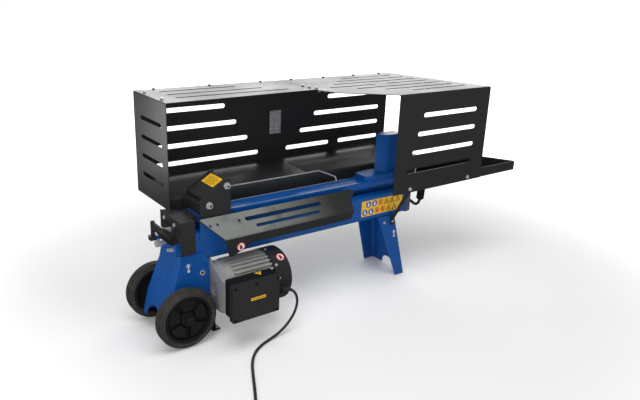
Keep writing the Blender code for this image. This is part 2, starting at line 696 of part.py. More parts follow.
def leg():
    sections = []
    for z in (0.0, BEAM_BOTTOM * 0.5, LEG_TOP):
        t = z / LEG_TOP
        half = LEG_HALF_TOP + LEG_SPLAY * (1 - t)
        right = LEG_FOOT_RIGHT + (LEG_TOP_RIGHT - LEG_FOOT_RIGHT) * t
        left = right - LEG_FOOT_WIDTH - (LEG_TOP_RIGHT - LEG_TOP_LEFT - LEG_FOOT_WIDTH) * t
        edge = LEG_EDGE
        sections.append([(left, half, z), (right - edge, half, z), (right, half - edge, z),
                         (right, -half + edge, z), (right - edge, -half, z), (left, -half, z)])
    loft_sheet("rear_leg", sections, PLATE, BLUE, side=LEG_SIDE)
    body = bpy.data.objects["rear_leg"]
    foot = slots_tool("leg_arch", [circle(0.0, 0.0, LEG_ARCH, 20)], 0.08, "YZ",
                      (LEG_FOOT_RIGHT, 0, 0))
    combine(body, foot)


def strut():
    """Flat bar from the leg's front cheek up to the tray's front rim."""
    def cheek(z):
        return -LEG_HALF_TOP - LEG_SPLAY * (1 - z / LEG_TOP) - PLATE - 2 * GAP

    y1 = CAGE_FRONT + SHEET + GAP + STRUT
    z0, z1 = LEG_BOLT_Z, FRONT_BOTTOM + 0.011
    x0, x1 = LEG_BOLT_X, FRONT_BOLTS[0]
    half = 0.008
    sections = []
    for y, z, x in ((cheek(z0 - 0.010), z0 - 0.010, x0), (cheek(z0 + 0.010), z0 + 0.010, x0),
                    (y1, z1 - 0.009, x1),
                    (y1, z1 + 0.007, x1)):
        sections.append([(x - half, y, z), (x + half, y, z)])
    loft_sheet("tray_strut", sections, STRUT, BLACK, side=1.0)


# ---------------------------------------------------------------- cage

def back_profile():
    """(y, z) line of the back sheet: lip, trough, bend and back wall."""
    bend = TROUGH_BEND
    wall = CAGE_BACK
    points = [(TROUGH_INNER, BEAM_TOP - TROUGH_LIP), (TROUGH_INNER, TROUGH_Z - 0.004),
              (TROUGH_INNER + 0.004, TROUGH_Z)]
    points += arc(wall - bend, TROUGH_Z + 0.010 + bend, bend, -85, 0, 6)
    points.append((wall, CAGE_TOP - SHEET - GAP))
    return points


def slot_row(index):
    return CAGE_TOP - SLOT_DROP - index * SLOT_PITCH


def cage():
    left, seam = CAGE_LEFT + SHEET + GAP, CAGE_SEAM
    depth = 0.02
    panel = folded("back_panel_left", back_profile(), left, seam - GAP, SHEET, BLACK, SHEET_SIDE)
    rows = [slot(CAGE_LEFT + 0.052, CAGE_LEFT + 0.271 + 0.038 * i, slot_row(i), SLOT_WIDTH)
            for i in range(4)]
    combine(panel, slots_tool("left_slots", rows, depth, "XZ", (0, CAGE_BACK, 0)))

    panel = folded("back_panel_right", back_profile(), seam + GAP, CAGE_RIGHT, SHEET, BLACK,
                   SHEET_SIDE)
    end = CAGE_RIGHT - 0.036
    rows = [slot(seam + 0.191 - 0.0535 * i, end, slot_row(i), SLOT_WIDTH) for i in range(3)]
    split = seam + 0.221
    rows.append(slot(seam + 0.031, split - 0.020, slot_row(3), SLOT_WIDTH))
    rows.append(slot(split + 0.020, end, slot_row(3), SLOT_WIDTH))
    combine(panel, slots_tool("right_slots", rows, depth, "XZ", (0, CAGE_BACK, 0)))

    # end panel
    y0, y1 = END_FRONT, CAGE_BACK
    outline = [(y0, END_BOTTOM), (y1, END_BOTTOM), (y1, CAGE_TOP - SHEET - GAP),
               (y0, CAGE_TOP - SHEET - GAP)]
    rows = [slot(y0 + 0.031, y1 - 0.043, slot_row(i), 0.011) for i in range(4)]
    plate("end_panel", [outline] + rows, SHEET, "YZ", (CAGE_LEFT + SHEET / 2, 0, 0), BLACK)

    # roof, left half
    y_seam = END_FRONT + 0.017
    outline = [(CAGE_LEFT, y0), (seam - GAP, y_seam), (seam - GAP, CAGE_BACK),
               (CAGE_LEFT, CAGE_BACK)]
    rows = [slot(CAGE_LEFT + 0.052, CAGE_LEFT + 0.278 + 0.058 * i, CAGE_BACK - 0.049 - 0.0475 * i,
                 TOP_SLOT) for i in range(3)]
    plate("roof_left", [outline] + rows, SHEET, "XY", (0, 0, CAGE_TOP - SHEET / 2), BLACK)

    roof_and_front()
    joint_plate()


def roof_and_front():
    """Right half of the roof, folded down into the slotted front panel."""
    seam = CAGE_SEAM
    y_seam = END_FRONT + 0.017
    slant = (CAGE_RIGHT - FRONT_RIGHT) / (CAGE_BACK - CAGE_FRONT)
    corner = 0.003
    profile = [(CAGE_BACK, CAGE_TOP), (CAGE_FRONT + corner, CAGE_TOP),
               (CAGE_FRONT, CAGE_TOP - corner), (CAGE_FRONT, FRONT_BOTTOM)]
    body = folded("roof_and_front_right", profile, seam + GAP, FRONT_RIGHT, SHEET, BLACK,
                  ROOF_SIDE)
    out = 0.1
    front_cut = [(seam - out, y_seam), (seam + GAP, y_seam), (seam + 0.027, y_seam - 0.066),
                 (FRONT_LEFT - 0.001, CAGE_FRONT + 0.006), (FRONT_LEFT - 0.001, CAGE_FRONT - out),
                 (seam - out, CAGE_FRONT - out)]
    side_cut = [(FRONT_RIGHT + slant * -out, CAGE_FRONT - out),
                (FRONT_RIGHT + out, CAGE_FRONT - out), (FRONT_RIGHT + out, CAGE_BACK + out),
                (CAGE_RIGHT + slant * out, CAGE_BACK + out)]
    combine(body, slots_tool("roof_outline", [front_cut, side_cut], 1.0, "XY",
                             (0, 0, CAGE_TOP)))
    starts = [seam + 0.200 - 0.0465 * i for i in range(4)] + \
             [seam + 0.127 + 0.069 * i for i in range(3)]
    rows = []
    for i, start in enumerate(starts):
        y = CAGE_BACK - 0.049 - TOP_PITCH * i
        end = FRONT_RIGHT + slant * (y - CAGE_FRONT) - 0.046
        if i == 3:
            middle = (start + end) / 2
            rows.append(slot(start, middle - 0.024, y, TOP_SLOT))
            rows.append(slot(middle + 0.024, end, y, TOP_SLOT))
        else:
            rows.append(slot(start, end, y, TOP_SLOT))
    combine(body, slots_tool("roof_slots", rows, 0.02, "XY", (0, 0, CAGE_TOP)))
    rows = [slot(FRONT_LEFT + 0.099 - 0.018 * i, FRONT_RIGHT - 0.056,
                 CAGE_TOP - FRONT_DROP - FRONT_PITCH * i, SLOT_WIDTH) for i in range(4)]
    rows += [circle(x, FRONT_BOTTOM + 0.011, 0.0035) for x in FRONT_BOLTS]
    combine(body, slots_tool("front_slots", rows, 0.02, "XZ", (0, CAGE_FRONT, 0)))


def joint_plate():
    z = (slot_row(0) + slot_row(2)) / 2 - 0.014
    box("cage_joint_plate", (CAGE_SEAM - 0.031, CAGE_BACK - 2 * SHEET - GAP, z - JOINT_HALF),
        (CAGE_SEAM + 0.009, CAGE_BACK - SHEET - GAP, z + JOINT_HALF), STEEL)


# ---------------------------------------------------------------- trough and tray

def front_trough():
    """Sloped chute with a folded-down face, in front of the beam."""
    y0, y1 = FRONT_TROUGH_Y, FOLD_Y
    profile = [(y0, BEAM_TOP - TROUGH_LIP), (y0, FRONT_TROUGH_TOP - 0.003),
               (y0 - 0.002, FRONT_TROUGH_TOP - 0.001), (y1 + 0.002, FOLD_Z + 0.001),
               (y1, FOLD_Z - 0.002), (y1 + 0.004, APRON_BOTTOM)]
    x0, x1 = FRONT_TROUGH_X0, FRONT_TROUGH_X1
    body = folded("front_trough", profile, x0, x1 + 0.030, SHEET, WORN, TROUGH_SIDE)
    depth = 0.2
    incline = [slot(x0 + 0.119, x1 - 0.094, -0.070, 0.009),
               slot(x0 + 0.142, x1 - 0.110, -0.088, 0.007)]
    incline += [circle(x0 + step, -0.070, 0.0032) for step in (0.020, 0.040, 0.102)]
    combine(body, slots_tool("trough_slots", incline, depth, "XY", (0, 0, RAIL_TOP)))
    cut_y = FRONT_TROUGH_Y - 0.004
    left = [(x0 - 0.001, cut_y), (x0 + 0.043, y1), (x0 + 0.043, 2 * y1), (x0 - 0.1, 2 * y1),
            (x0 - 0.1, cut_y)]
    combine(body, slots_tool("trough_left_cut", [left], depth, "XY", (0, 0, RAIL_TOP)))
    face = [(x0 - 0.01, FOLD_Z - 0.003), (x0 + 0.044, FOLD_Z - 0.003),
            (x0 + 0.056, APRON_BOTTOM + 0.002), (x0 + 0.067, APRON_BOTTOM), (x0 + 0.121, FACE_BOTTOM),
            (x1 + 0.1, FACE_BOTTOM), (x1 + 0.1, APRON_BOTTOM - 0.02), (x0 - 0.01, APRON_BOTTOM - 0.02)]
    combine(body, slots_tool("trough_face_cut", [face], 0.030, "XZ", (0, y1, 0)))
    right = [(x1 + 0.040, 0.35), (x1 + 0.028, 0.300), (x1 + 0.012, 0.297),
             (x1 - 0.006, FOLD_Z - 0.020), (x1 - 0.012, APRON_BOTTOM - 0.01),
             (x1 + 0.1, APRON_BOTTOM - 0.01), (x1 + 0.1, 0.35)]
    combine(body, slots_tool("trough_right_cut", [right], 0.08, "XZ", (0, y1, 0)))


def tray():
    """Log tray: a pan with four rims, bolted behind the front panel."""
    y0, y1 = CAGE_FRONT + SHEET + GAP, TRAY_BACK
    back_right = TRAY_RIGHT - 0.082
    corners = [(TRAY_LEFT, y0), (TRAY_RIGHT, y0), (back_right, y1), (TRAY_BACK_LEFT, y1)]
    z0, z1 = FRONT_BOTTOM, FRONT_BOTTOM + TRAY_RIM
    bm = bmesh.new()
    floor = [bm.verts.new((x, y, z0)) for x, y in corners]
    rims = [bm.verts.new((x, y, z1)) for x, y in corners]
    bm.faces.new(floor)
    for i in range(4):
        j = (i + 1) % 4
        bm.faces.new((floor[j], floor[i], rims[i], rims[j]))
    data = mesh_from(bm, "log_tray")
    body = add("log_tray", data, (0, 0, 0), BLACK)
    thicken(body, SHEET, TRAY_SIDE)
    holes = [circle(x, FRONT_BOTTOM + 0.011, 0.0035) for x in FRONT_BOLTS]
    combine(body, slots_tool("tray_holes", holes, 0.02, "XZ", (0, y0, 0)))


def handle():
    x0 = BEAM_RIGHT + 0.006 + GAP
    z0 = BEAM_BOTTOM + 0.038
    points = [(x0, z0), (x0 + 0.012, z0), (x0 + 0.070, z0 - 0.043),
              (x0 + 0.080, z0 - 0.047), (x0 + 0.090, z0 - 0.044), (x0 + 0.096, z0 - 0.034)]
    top = [(x0 + 0.101, z0 + 0.020), (x0 + 0.099, z0 + 0.028), (x0 + 0.090, z0 + 0.031),
           (x0 + 0.012, z0 + 0.028), (x0, z0 + 0.028)]
    curve = bpy.data.curves.new("lift_handle_bar", "CURVE")
    curve.dimensions = "3D"
    curve.bevel_depth = 0.005
    curve.bevel_resolution = 2
    curve.use_fill_caps = True
    spline = curve.splines.new("POLY")
    spline.points.add(len(points) + len(top) - 1)
    for point, (x, z) in zip(spline.points, points + top):
        point.co = (x, 0.0, z, 1.0)
    add("lift_handle_bar", curve, (0, 0, 0), BLACK)

    low = Vector((points[-1][0], 0.0, points[-1][1]))
    high = Vector((top[0][0], 0.0, top[0][1]))
    length = (high - low).length - 0.004
    radius = 0.0125
    profile = [(radius + 0.002, length / 2), (radius + 0.002, length / 2 - 0.005),
               (radius, length / 2 - 0.006), (radius, -length / 2 + 0.004),
               (radius - 0.002, -length / 2), (0.0055, -length / 2), (0.0055, length / 2)]
    grip = turned("lift_handle_grip", profile, (low + high) / 2, "Z", PLASTIC, 24, closed=True)
    grip.rotation_euler = (0, math.atan2(high.x - low.x, high.z - low.z), 0)


def stroke_limiter():
    """Thin rod behind the rail with a hooked end that stops the pusher early."""
    curve = bpy.data.curves.new("stroke_limiter_rod", "CURVE")
    curve.dimensions = "3D"
    curve.bevel_depth = 0.0022
    curve.bevel_resolution = 2
    curve.use_fill_caps = True
    y = TROUGH_INNER + 0.006
    z = TROUGH_Z + SHEET + 0.0029
    hook = 0.513
    points = [(PUSHER_BACK + 0.020, y, z), (hook - 0.004, y, z), (hook, y - 0.002, z),
              (hook + 0.006, -0.008, z), (hook + 0.007, -0.015, z - 0.003),
              (hook + 0.007, -0.017, z - 0.013)]
    spline = curve.splines.new("POLY")
    spline.points.add(len(points) - 1)
    for point, co in zip(spline.points, points):
        point.co = (*co, 1.0)
    add("stroke_limiter_rod", curve, (0, 0, 0), STEEL)


# ---------------------------------------------------------------- motor

def motor():
    centre = (0, MOTOR_Y, MOTOR_Z)
    x0 = MOTOR_LEFT
    x1 = x0 + BELL_LENGTH
    x2 = x1 + HOUSING_LENGTH
    x3 = x2 + FAN_COVER_LENGTH
    fins = 36
    bore = MOTOR_RADIUS - 0.016
    star = []
    for i in range(fins):
        for share, radius in ((0.0, MOTOR_RADIUS), (0.45, MOTOR_RADIUS),
                              (0.55, MOTOR_RADIUS - 0.007), (0.95, MOTOR_RADIUS - 0.007)):
            angle = math.tau * (i + share) / fins
            star.append((radius * math.cos(angle), radius * math.sin(angle)))
    plate("motor_housing", [star, circle(0, 0, bore, 40)], HOUSING_LENGTH - 2 * GAP, "YZ",
          ((x1 + x2) / 2, MOTOR_Y, MOTOR_Z), CAST)

    r = MOTOR_RADIUS - 0.002
    seat = 0.016
    profile = [(r, x1), (r, x0 + 0.010), (r - 0.012, x0), (SHAFT_RADIUS + 0.001, x0),
               (SHAFT_RADIUS + 0.001, x0 + 0.006), (seat, x0 + 0.006), (seat, x0 + 0.018),
               (bore, x0 + 0.018), (bore, x1)]
    bell = turned("motor_end_bell", profile, centre, "X", CAST, 40, closed=True)
    flange_left = BRACKET_RIGHT + 0.0008
    flange = [(0.030, BEAM_BOTTOM - GAP - MOTOR_Z), (0.115, BEAM_BOTTOM - GAP - MOTOR_Z),
              (0.115, 0.020), (0.030, -0.055), (-0.030, -0.055), (-0.052, -0.020),
              (-0.052, 0.035)]
    ear = as_mesh(plate("motor_flange", [rounded(flange, 0.008), circle(0, 0, seat + 0.004, 24)],
                        x0 + 0.004 - flange_left, "YZ",
                        ((x0 + 0.004 + flange_left) / 2, MOTOR_Y, MOTOR_Z), CAST))
    combine(bell, ear, "UNION")
    ring("gear_pump", SHAFT_RADIUS + GAP, bore - GAP, x0 + 0.018 + GAP, x1 + 0.008, centre, "X",
         CAST)
    profile = [(bore - GAP, x2 + 0.010), (bore - GAP, x2 + GAP), (seat, x2 + GAP), (seat, x2 + 0.010)]
    turned("fan_end_shield", profile, centre, "X", CAST, 40, closed=True)

    cover = MOTOR_RADIUS + 0.001
    wall = 0.0015
    profile = [(0.010, x3), (cover - 0.008, x3), (cover, x3 - 0.008), (cover, x2 + GAP),
               (cover - wall, x2 + GAP), (cover - wall, x3 - 0.009),
               (cover - 0.009, x3 - wall), (0.010, x3 - wall)]
    turned("fan_cover", profile, centre, "X", BLACK, 40, closed=True)

    core = bore - 0.022
    shaft_start, shaft_end = x0 + 0.002, x3 - 0.012
    core0, core1 = x1 + 0.014, x2 - 0.016
    profile = [(0.0, shaft_end), (SHAFT_RADIUS, shaft_end), (SHAFT_RADIUS, core1),
               (core, core1), (core, core0), (SHAFT_RADIUS, core0), (SHAFT_RADIUS, shaft_start),
               (0.0, shaft_start)]
    turned("motor_rotor", profile, centre, "X", STEEL, 32)
    ring("motor_stator", core + 0.001, bore - GAP, x1 + 0.010, x2 - 0.012, centre, "X", COPPER)
    for label, start in (("drive", x0 + 0.007), ("fan", x2 + GAP)):
        ring("bearing_" + label, SHAFT_RADIUS + GAP, seat - GAP, start, start + 0.0095, centre,
             "X", STEEL)
    blades = 8
    outline = []
    for i in range(blades):
        for share, radius in ((0.0, MOTOR_RADIUS - 0.012), (0.12, MOTOR_RADIUS - 0.012),
                              (0.20, 0.020), (0.92, 0.020)):
            angle = math.tau * (i + share) / blades
            outline.append((radius * math.cos(angle), radius * math.sin(angle)))
    plate("cooling_fan", [outline, circle(0, 0, SHAFT_RADIUS + GAP, 24)], 0.018, "YZ",
          (x2 + 0.024, MOTOR_Y, MOTOR_Z), PLASTIC)
    terminal_box()


def open_box(name, low, high, wall, open_side, finish):
    """A box without one Y side, thickened inwards."""
    (x0, y0, z0), (x1, y1, z1) = low, high
    bm = bmesh.new()
    bmesh.ops.create_cube(bm, size=1.0)
    bmesh.ops.scale(bm, vec=(x1 - x0, y1 - y0, z1 - z0), verts=bm.verts)
    side = max(bm.faces, key=lambda f: open_side * f.calc_center_median().y)
    bmesh.ops.delete(bm, geom=[side], context="FACES_ONLY")
    data = bpy.data.meshes.new(name)
    bm.to_mesh(data)
    bm.free()
    obj = add(name, data, ((x0 + x1) / 2, (y0 + y1) / 2, (z0 + z1) / 2), finish)
    thicken(obj, wall, -1.0)
    return obj


def terminal_box():
    y_split = BOX_BACK - BOX_BASE
    open_box("terminal_box", (BOX_X0 + 0.006, y_split + GAP, BOX_Z0),
             (BOX_X1, BOX_BACK, BOX_Z1), BOX_WALL, -1, PLASTIC)
    open_box("terminal_box_lid", (BOX_X0, y_split - BOX_LID, BOX_Z0 - 0.001),
             (BOX_X1 - 0.002, y_split, BOX_Z1 - 0.001), BOX_WALL, 1, PLASTIC)
    rod("start_capacitor", 0.0130, BOX_X0 + 0.015, BOX_X0 + 0.085,
        (0, BOX_BACK - BOX_WALL - GAP - 0.0130, BOX_Z0 + 0.030), "X", GREY)
    profile = [(0.0, GLAND_LENGTH_OUT), (0.0060, GLAND_LENGTH_OUT), (0.0085, 0.012),
               (0.0105, 0.010), (0.0105, GAP), (0.0, GAP)]
    turned("cable_gland", profile, GLAND_AT, "X", PLASTIC, 20)


# ---------------------------------------------------------------- mains cord


def smooth_route(points, per_span):
    """Catmull-Rom points through a route."""
    route = [Vector(p) for p in points]
    ends = [2 * route[0] - route[1]] + route + [2 * route[-1] - route[-2]]
    result = []
    for i in range(1, len(ends) - 2):
        a, b, c, d = ends[i - 1:i + 3]
        for k in range(per_span):
            t = k / per_span
            result.append(0.5 * ((2 * b) + (c - a) * t + (2 * a - 5 * b + 4 * c - d) * t ** 2
                                 + (3 * b - a - 3 * c + d) * t ** 3))
    result.append(route[-1])
    return result


def mains_cord():
    curve = bpy.data.curves.new("mains_cord", "CURVE")
    curve.dimensions = "3D"
    curve.bevel_depth = CORD_DIAMETER / 2
    curve.bevel_resolution = 2
    curve.use_fill_caps = True
    points = smooth_route(CORD_ROUTE, 2)
    spline = curve.splines.new("POLY")
    spline.points.add(len(points) - 1)
    for point, co in zip(spline.points, points):
        point.co = (*co, 1.0)
    add("mains_cord", curve, (0, 0, 0), CORD)
    mains_plug()
    ring("cord_coil", COIL_INNER, COIL_OUTER, GAP, COIL_HEIGHT, (*COIL_AT, 0), "Z", CORD, 40)


def mains_plug():
    """Plug lying on the floor beside the coil."""
    box("mains_plug", (PLUG_AT[0] - 0.024, PLUG_AT[1] - 0.018, GAP),
        (PLUG_AT[0] + 0.024, PLUG_AT[1] + 0.018, 0.034), PLASTIC, 0.006)


def main():
    clear_scene()
    frame = bpy.data.objects.new("machine_frame", None)
    bpy.data.collections["log_splitter"].objects.link(frame)
    frame.location = (-sum(FOOTPRINT_X) / 2, -sum(FOOTPRINT_Y) / 2, 0.0)
    beam()
    wedge()
    pusher()
    cylinder()
    control_end()
    wheel_bracket()
    wheels()
    leg()
    strut()
    cage()
    front_trough()
    tray()
    handle()
    stroke_limiter()
    motor()
    mains_cord()


main()
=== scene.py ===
"""Finish of a horizontal electric log splitter.

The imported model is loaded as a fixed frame. Each operator below gives one piece, or one group of
like pieces, its finished surface and its small parts: paint, labels, fasteners, tyres, the motor's
cast skin and the mains cord. The panel in the sidebar lists them in the order in which they run.
"""

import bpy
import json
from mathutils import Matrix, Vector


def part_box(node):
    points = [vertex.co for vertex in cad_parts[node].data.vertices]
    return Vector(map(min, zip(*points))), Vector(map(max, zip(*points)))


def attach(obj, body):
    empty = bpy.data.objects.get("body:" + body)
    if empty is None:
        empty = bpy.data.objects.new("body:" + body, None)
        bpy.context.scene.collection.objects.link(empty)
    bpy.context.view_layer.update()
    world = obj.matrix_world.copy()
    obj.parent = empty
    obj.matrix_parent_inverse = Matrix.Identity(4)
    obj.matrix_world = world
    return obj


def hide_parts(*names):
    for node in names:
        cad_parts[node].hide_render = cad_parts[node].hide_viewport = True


bl_info = {
    "name": "Log Splitter Finish",
    "version": (1, 0, 0),
    "blender": (4, 5, 0),
    "location": "View3D > Sidebar > Log Splitter",
    "description": "Finishes the frame, cage, motor, wheels, labels and cord of a log splitter",
    "category": "Object",
}

import json
import math

import bmesh
import bpy
from bpy.props import FloatProperty, FloatVectorProperty, IntProperty, PointerProperty
from mathutils import Matrix, Vector

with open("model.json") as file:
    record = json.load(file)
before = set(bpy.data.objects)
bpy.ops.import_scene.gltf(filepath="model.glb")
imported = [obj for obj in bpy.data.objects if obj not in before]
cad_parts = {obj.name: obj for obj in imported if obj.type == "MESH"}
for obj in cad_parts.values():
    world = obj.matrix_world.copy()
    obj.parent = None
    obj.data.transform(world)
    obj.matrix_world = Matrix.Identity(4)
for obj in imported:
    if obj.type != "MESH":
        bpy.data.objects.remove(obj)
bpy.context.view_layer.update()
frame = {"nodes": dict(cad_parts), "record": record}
NODES = frame["nodes"]

BODY_OF = {node: body for body, nodes in frame["record"]["behaviour"]["bodies"].items()
           for node in nodes}
SLOT_OF = {part["node"]: part["material_slot"] for part in frame["record"]["subparts"]}


def centre_of(node):
    low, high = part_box(node)
    return (low + high) / 2


X_AXIS, Y_AXIS, Z_AXIS = Vector((1, 0, 0)), Vector((0, 1, 0)), Vector((0, 0, 1))

# every place given to at() is measured from the middle of the axle, on the floor
AXLE = Vector((centre_of("axle").x, centre_of("axle").y, 0.0))


def at(x, y, z):
    return AXLE + Vector((x, y, z))


# ------------------------------------------------------------------ sizes and colours

class LogSplitterPaint(bpy.types.PropertyGroup):
    """Colours and gloss of the painted and moulded surfaces"""
    blue: FloatVectorProperty(
        name="Frame blue", description="Paint of the beam, legs and wedge", subtype="COLOR",
        size=3, min=0.0, max=1.0, default=(0.0032, 0.084, 0.340))
    black: FloatVectorProperty(
        name="Sheet black", description="Powder coat of the cage and guards", subtype="COLOR",
        size=3, min=0.0, max=1.0, default=(0.0235, 0.0245, 0.0258))
    worn: FloatVectorProperty(
        name="Rubbed sheet", description="Chute surface that logs have rubbed", subtype="COLOR",
        size=3, min=0.0, max=1.0, default=(0.150, 0.160, 0.148))
    cast: FloatVectorProperty(
        name="Motor casting", description="Cast and finned motor body", subtype="COLOR",
        size=3, min=0.0, max=1.0, default=(0.550, 0.540, 0.520))
    plastic: FloatVectorProperty(
        name="Black plastic", description="Terminal box, hubs and grips", subtype="COLOR",
        size=3, min=0.0, max=1.0, default=(0.0105, 0.0105, 0.0110))
    rubber: FloatVectorProperty(
        name="Tyre rubber", description="Tyres and cord", subtype="COLOR",
        size=3, min=0.0, max=1.0, default=(0.030, 0.029, 0.028))
    label: FloatVectorProperty(
        name="Label yellow", description="Warning label ground", subtype="COLOR",
        size=3, min=0.0, max=1.0, default=(0.900, 0.520, 0.020))
    coat_gloss: FloatProperty(
        name="Coat roughness", description="Roughness of the powder coat", min=0.05, max=1.0,
        default=0.36)
    paint_gloss: FloatProperty(
        name="Paint roughness", description="Roughness of the blue paint", min=0.05, max=1.0,
        default=0.30)


class LogSplitterParts(bpy.types.PropertyGroup):
    """Sizes of the small parts"""
    edge: FloatProperty(
        name="Edge radius", description="Rounding of sheet and plate edges", subtype="DISTANCE",
        unit="LENGTH", min=0.0, max=0.005, default=0.0006)
    bolt_across: FloatProperty(
        name="Bolt across flats", description="Hexagon size of the cage bolts",
        subtype="DISTANCE", unit="LENGTH", min=0.004, max=0.02, default=0.0080)
    bolt_height: FloatProperty(
        name="Bolt head height", description="Height of a bolt head over its washer",
        subtype="DISTANCE", unit="LENGTH", min=0.001, max=0.01, default=0.0035)
    washer: FloatProperty(
        name="Washer diameter", description="Outer diameter of the plain washers",
        subtype="DISTANCE", unit="LENGTH", min=0.004, max=0.03, default=0.0120)
    hub_pads: IntProperty(
        name="Hub pads", description="Raised pads round each wheel hub", min=3, max=9,
        default=5)
    fan_slots: IntProperty(
        name="Fan slots", description="Air slots in each ring of the fan cover", min=6, max=40,
        default=20)


class LogSplitterCord(bpy.types.PropertyGroup):
    """Mains cord"""
    length: FloatProperty(
        name="Length", description="Whole length of the mains cord", subtype="DISTANCE",
        unit="LENGTH", min=0.5, max=10.0, default=2.0)
    diameter: FloatProperty(
        name="Diameter", description="Outer diameter of the cord", subtype="DISTANCE",
        unit="LENGTH", min=0.003, max=0.02, default=0.007)


class LogSplitterStage(bpy.types.PropertyGroup):
    """Floor, light and camera"""
    surround: FloatProperty(
        name="Surround light", description="Strength of the white surround", min=0.0, max=4.0,
        default=0.25)
    mirrored: FloatProperty(
        name="Mirrored surround", description="Strength of the surround in reflections", min=0.0,
        max=4.0, default=0.06)
    back: FloatProperty(
        name="Back card", description="Power of the wide card behind the roof", unit="POWER",
        min=0.0, max=500.0, default=115.0)
    key: FloatProperty(
        name="Key light", description="Power of the overhead soft light", unit="POWER",
        min=0.0, max=500.0, default=38.0)
    side: FloatProperty(
        name="Side light", description="Power of the soft light at the control end",
        unit="POWER", min=0.0, max=500.0, default=6.5)


# ------------------------------------------------------------------ shading

def by_identifier(sockets, identifier):
    return next(socket for socket in sockets if socket.identifier == identifier)


class Shade:
    """A material built from nodes round one Principled shader."""

    def __init__(self, name, colour, roughness, metallic=0.0, specular=0.5):
        self.material = bpy.data.materials.new(name)
        self.material.use_nodes = True
        self.tree = self.material.node_tree
        self.tree.nodes.clear()
        self.shader = self.node("ShaderNodeBsdfPrincipled")
        out = self.node("ShaderNodeOutputMaterial")
        self.link(self.shader.outputs["BSDF"], out.inputs["Surface"])
        self.coords = self.node("ShaderNodeTexCoord").outputs["Object"]
        self.colour = tuple(colour)
        self.set("Base Color", (*colour, 1.0))
        self.set("Roughness", roughness)
        self.set("Metallic", metallic)
        self.set("Specular IOR Level", specular)
        self.normal = None

    def node(self, kind, **settings):
        node = self.tree.nodes.new(kind)
        for name, value in settings.items():
            setattr(node, name, value)
        return node

    def link(self, source, target):
        self.tree.links.new(source, target)

    def set(self, socket, value):
        if isinstance(value, bpy.types.NodeSocket):
            self.link(value, self.shader.inputs[socket])
        else:
            self.shader.inputs[socket].default_value = value

    def stretched(self, scale, turn=(0.0, 0.0, 0.0), coords=None):
        mapping = self.node("ShaderNodeMapping")
        mapping.inputs["Scale"].default_value = scale
        mapping.inputs["Rotation"].default_value = turn
        self.link(coords or self.coords, mapping.inputs["Vector"])
        return mapping.outputs["Vector"]

    def noise(self, scale, detail=3.0, roughness=0.5, coords=None):
        node = self.node("ShaderNodeTexNoise")
        node.inputs["Scale"].default_value = scale
        node.inputs["Detail"].default_value = detail
        node.inputs["Roughness"].default_value = roughness
        self.link(coords or self.coords, node.inputs["Vector"])
        return node.outputs["Fac"]

    def cells(self, scale, feature="F1", coords=None):
        node = self.node("ShaderNodeTexVoronoi", feature=feature)
        node.inputs["Scale"].default_value = scale
        self.link(coords or self.coords, node.inputs["Vector"])
        return node.outputs["Distance"]

    def between(self, value, low, high, to_low=0.0, to_high=1.0):
        node = self.node("ShaderNodeMapRange", clamp=True)
        self.link(value, node.inputs["Value"])
        for name, number in (("From Min", low), ("From Max", high), ("To Min", to_low),
                             ("To Max", to_high)):
            node.inputs[name].default_value = number
        return node.outputs["Result"]

    def maths(self, operation, first, second):
        node = self.node("ShaderNodeMath", operation=operation)
        for socket, value in zip(node.inputs, (first, second)):
            if isinstance(value, bpy.types.NodeSocket):
                self.link(value, socket)
            else:
                socket.default_value = value
        return node.outputs["Value"]

    def blend(self, amount, first, second):
        node = self.node("ShaderNodeMix", data_type="RGBA")
        self.link(amount, node.inputs["Factor"])
        for identifier, value in (("A_Color", first), ("B_Color", second)):
            socket = by_identifier(node.inputs, identifier)
            if isinstance(value, bpy.types.NodeSocket):
                self.link(value, socket)
            else:
                socket.default_value = (*value[:3], 1.0)
        return by_identifier(node.outputs, "Result_Color")

    def bump(self, height, strength, distance):
        node = self.node("ShaderNodeBump")
        node.inputs["Strength"].default_value = strength
        node.inputs["Distance"].default_value = distance
        self.link(height, node.inputs["Height"])
        if self.normal is not None:
            self.link(self.normal, node.inputs["Normal"])
        self.normal = node.outputs["Normal"]
        self.set("Normal", self.normal)

    def axis(self, name):
        split = self.node("ShaderNodeSeparateXYZ")
        self.link(self.coords, split.inputs["Vector"])
        return split.outputs[name]

    def up(self):
        """How far the surface faces upwards."""
        normal = self.node("ShaderNodeNewGeometry").outputs["Normal"]
        split = self.node("ShaderNodeSeparateXYZ")
        self.link(normal, split.inputs["Vector"])
        return split.outputs["Z"]


MATERIALS = {}


def tint(colour, factor):
    return tuple(min(1.0, c * factor) for c in colour)


def coated(name, colour, roughness, peel=0.10, dust=0.5):
    """Sprayed coat: orange peel, fine rub marks, thin dust and a gloss that drifts."""
    shade = Shade(name, colour, roughness)
    drift = shade.noise(7.0, 4.0)
    marks = shade.noise(60.0, 6.0, 0.65, shade.stretched((0.6, 3.0, 9.0), (0.0, 0.1, 0.2)))
    specks = shade.between(shade.noise(420.0, 2.0), 0.66, 0.76)
    rubbed = shade.between(marks, 0.52, 0.72)
    gloss = shade.between(drift, 0.3, 0.7, roughness - 0.05, roughness + 0.07)
    shade.set("Roughness", shade.maths("ADD", gloss, shade.maths("MULTIPLY", rubbed, 0.06)))
    toned = shade.blend(drift, tint(colour, 0.90), tint(colour, 1.12))
    dusty = shade.blend(shade.maths("MULTIPLY", specks, 0.10 * dust), toned, (0.50, 0.48, 0.45))
    shade.set("Base Color", shade.blend(shade.maths("MULTIPLY", rubbed, 0.05 * dust), dusty,
                                        (0.40, 0.40, 0.40)))
    shade.bump(shade.noise(750.0, 2.0), peel, 0.0004)
    shade.set("Coat Weight", 0.12)
    shade.set("Coat Roughness", 0.18)
    return shade.material


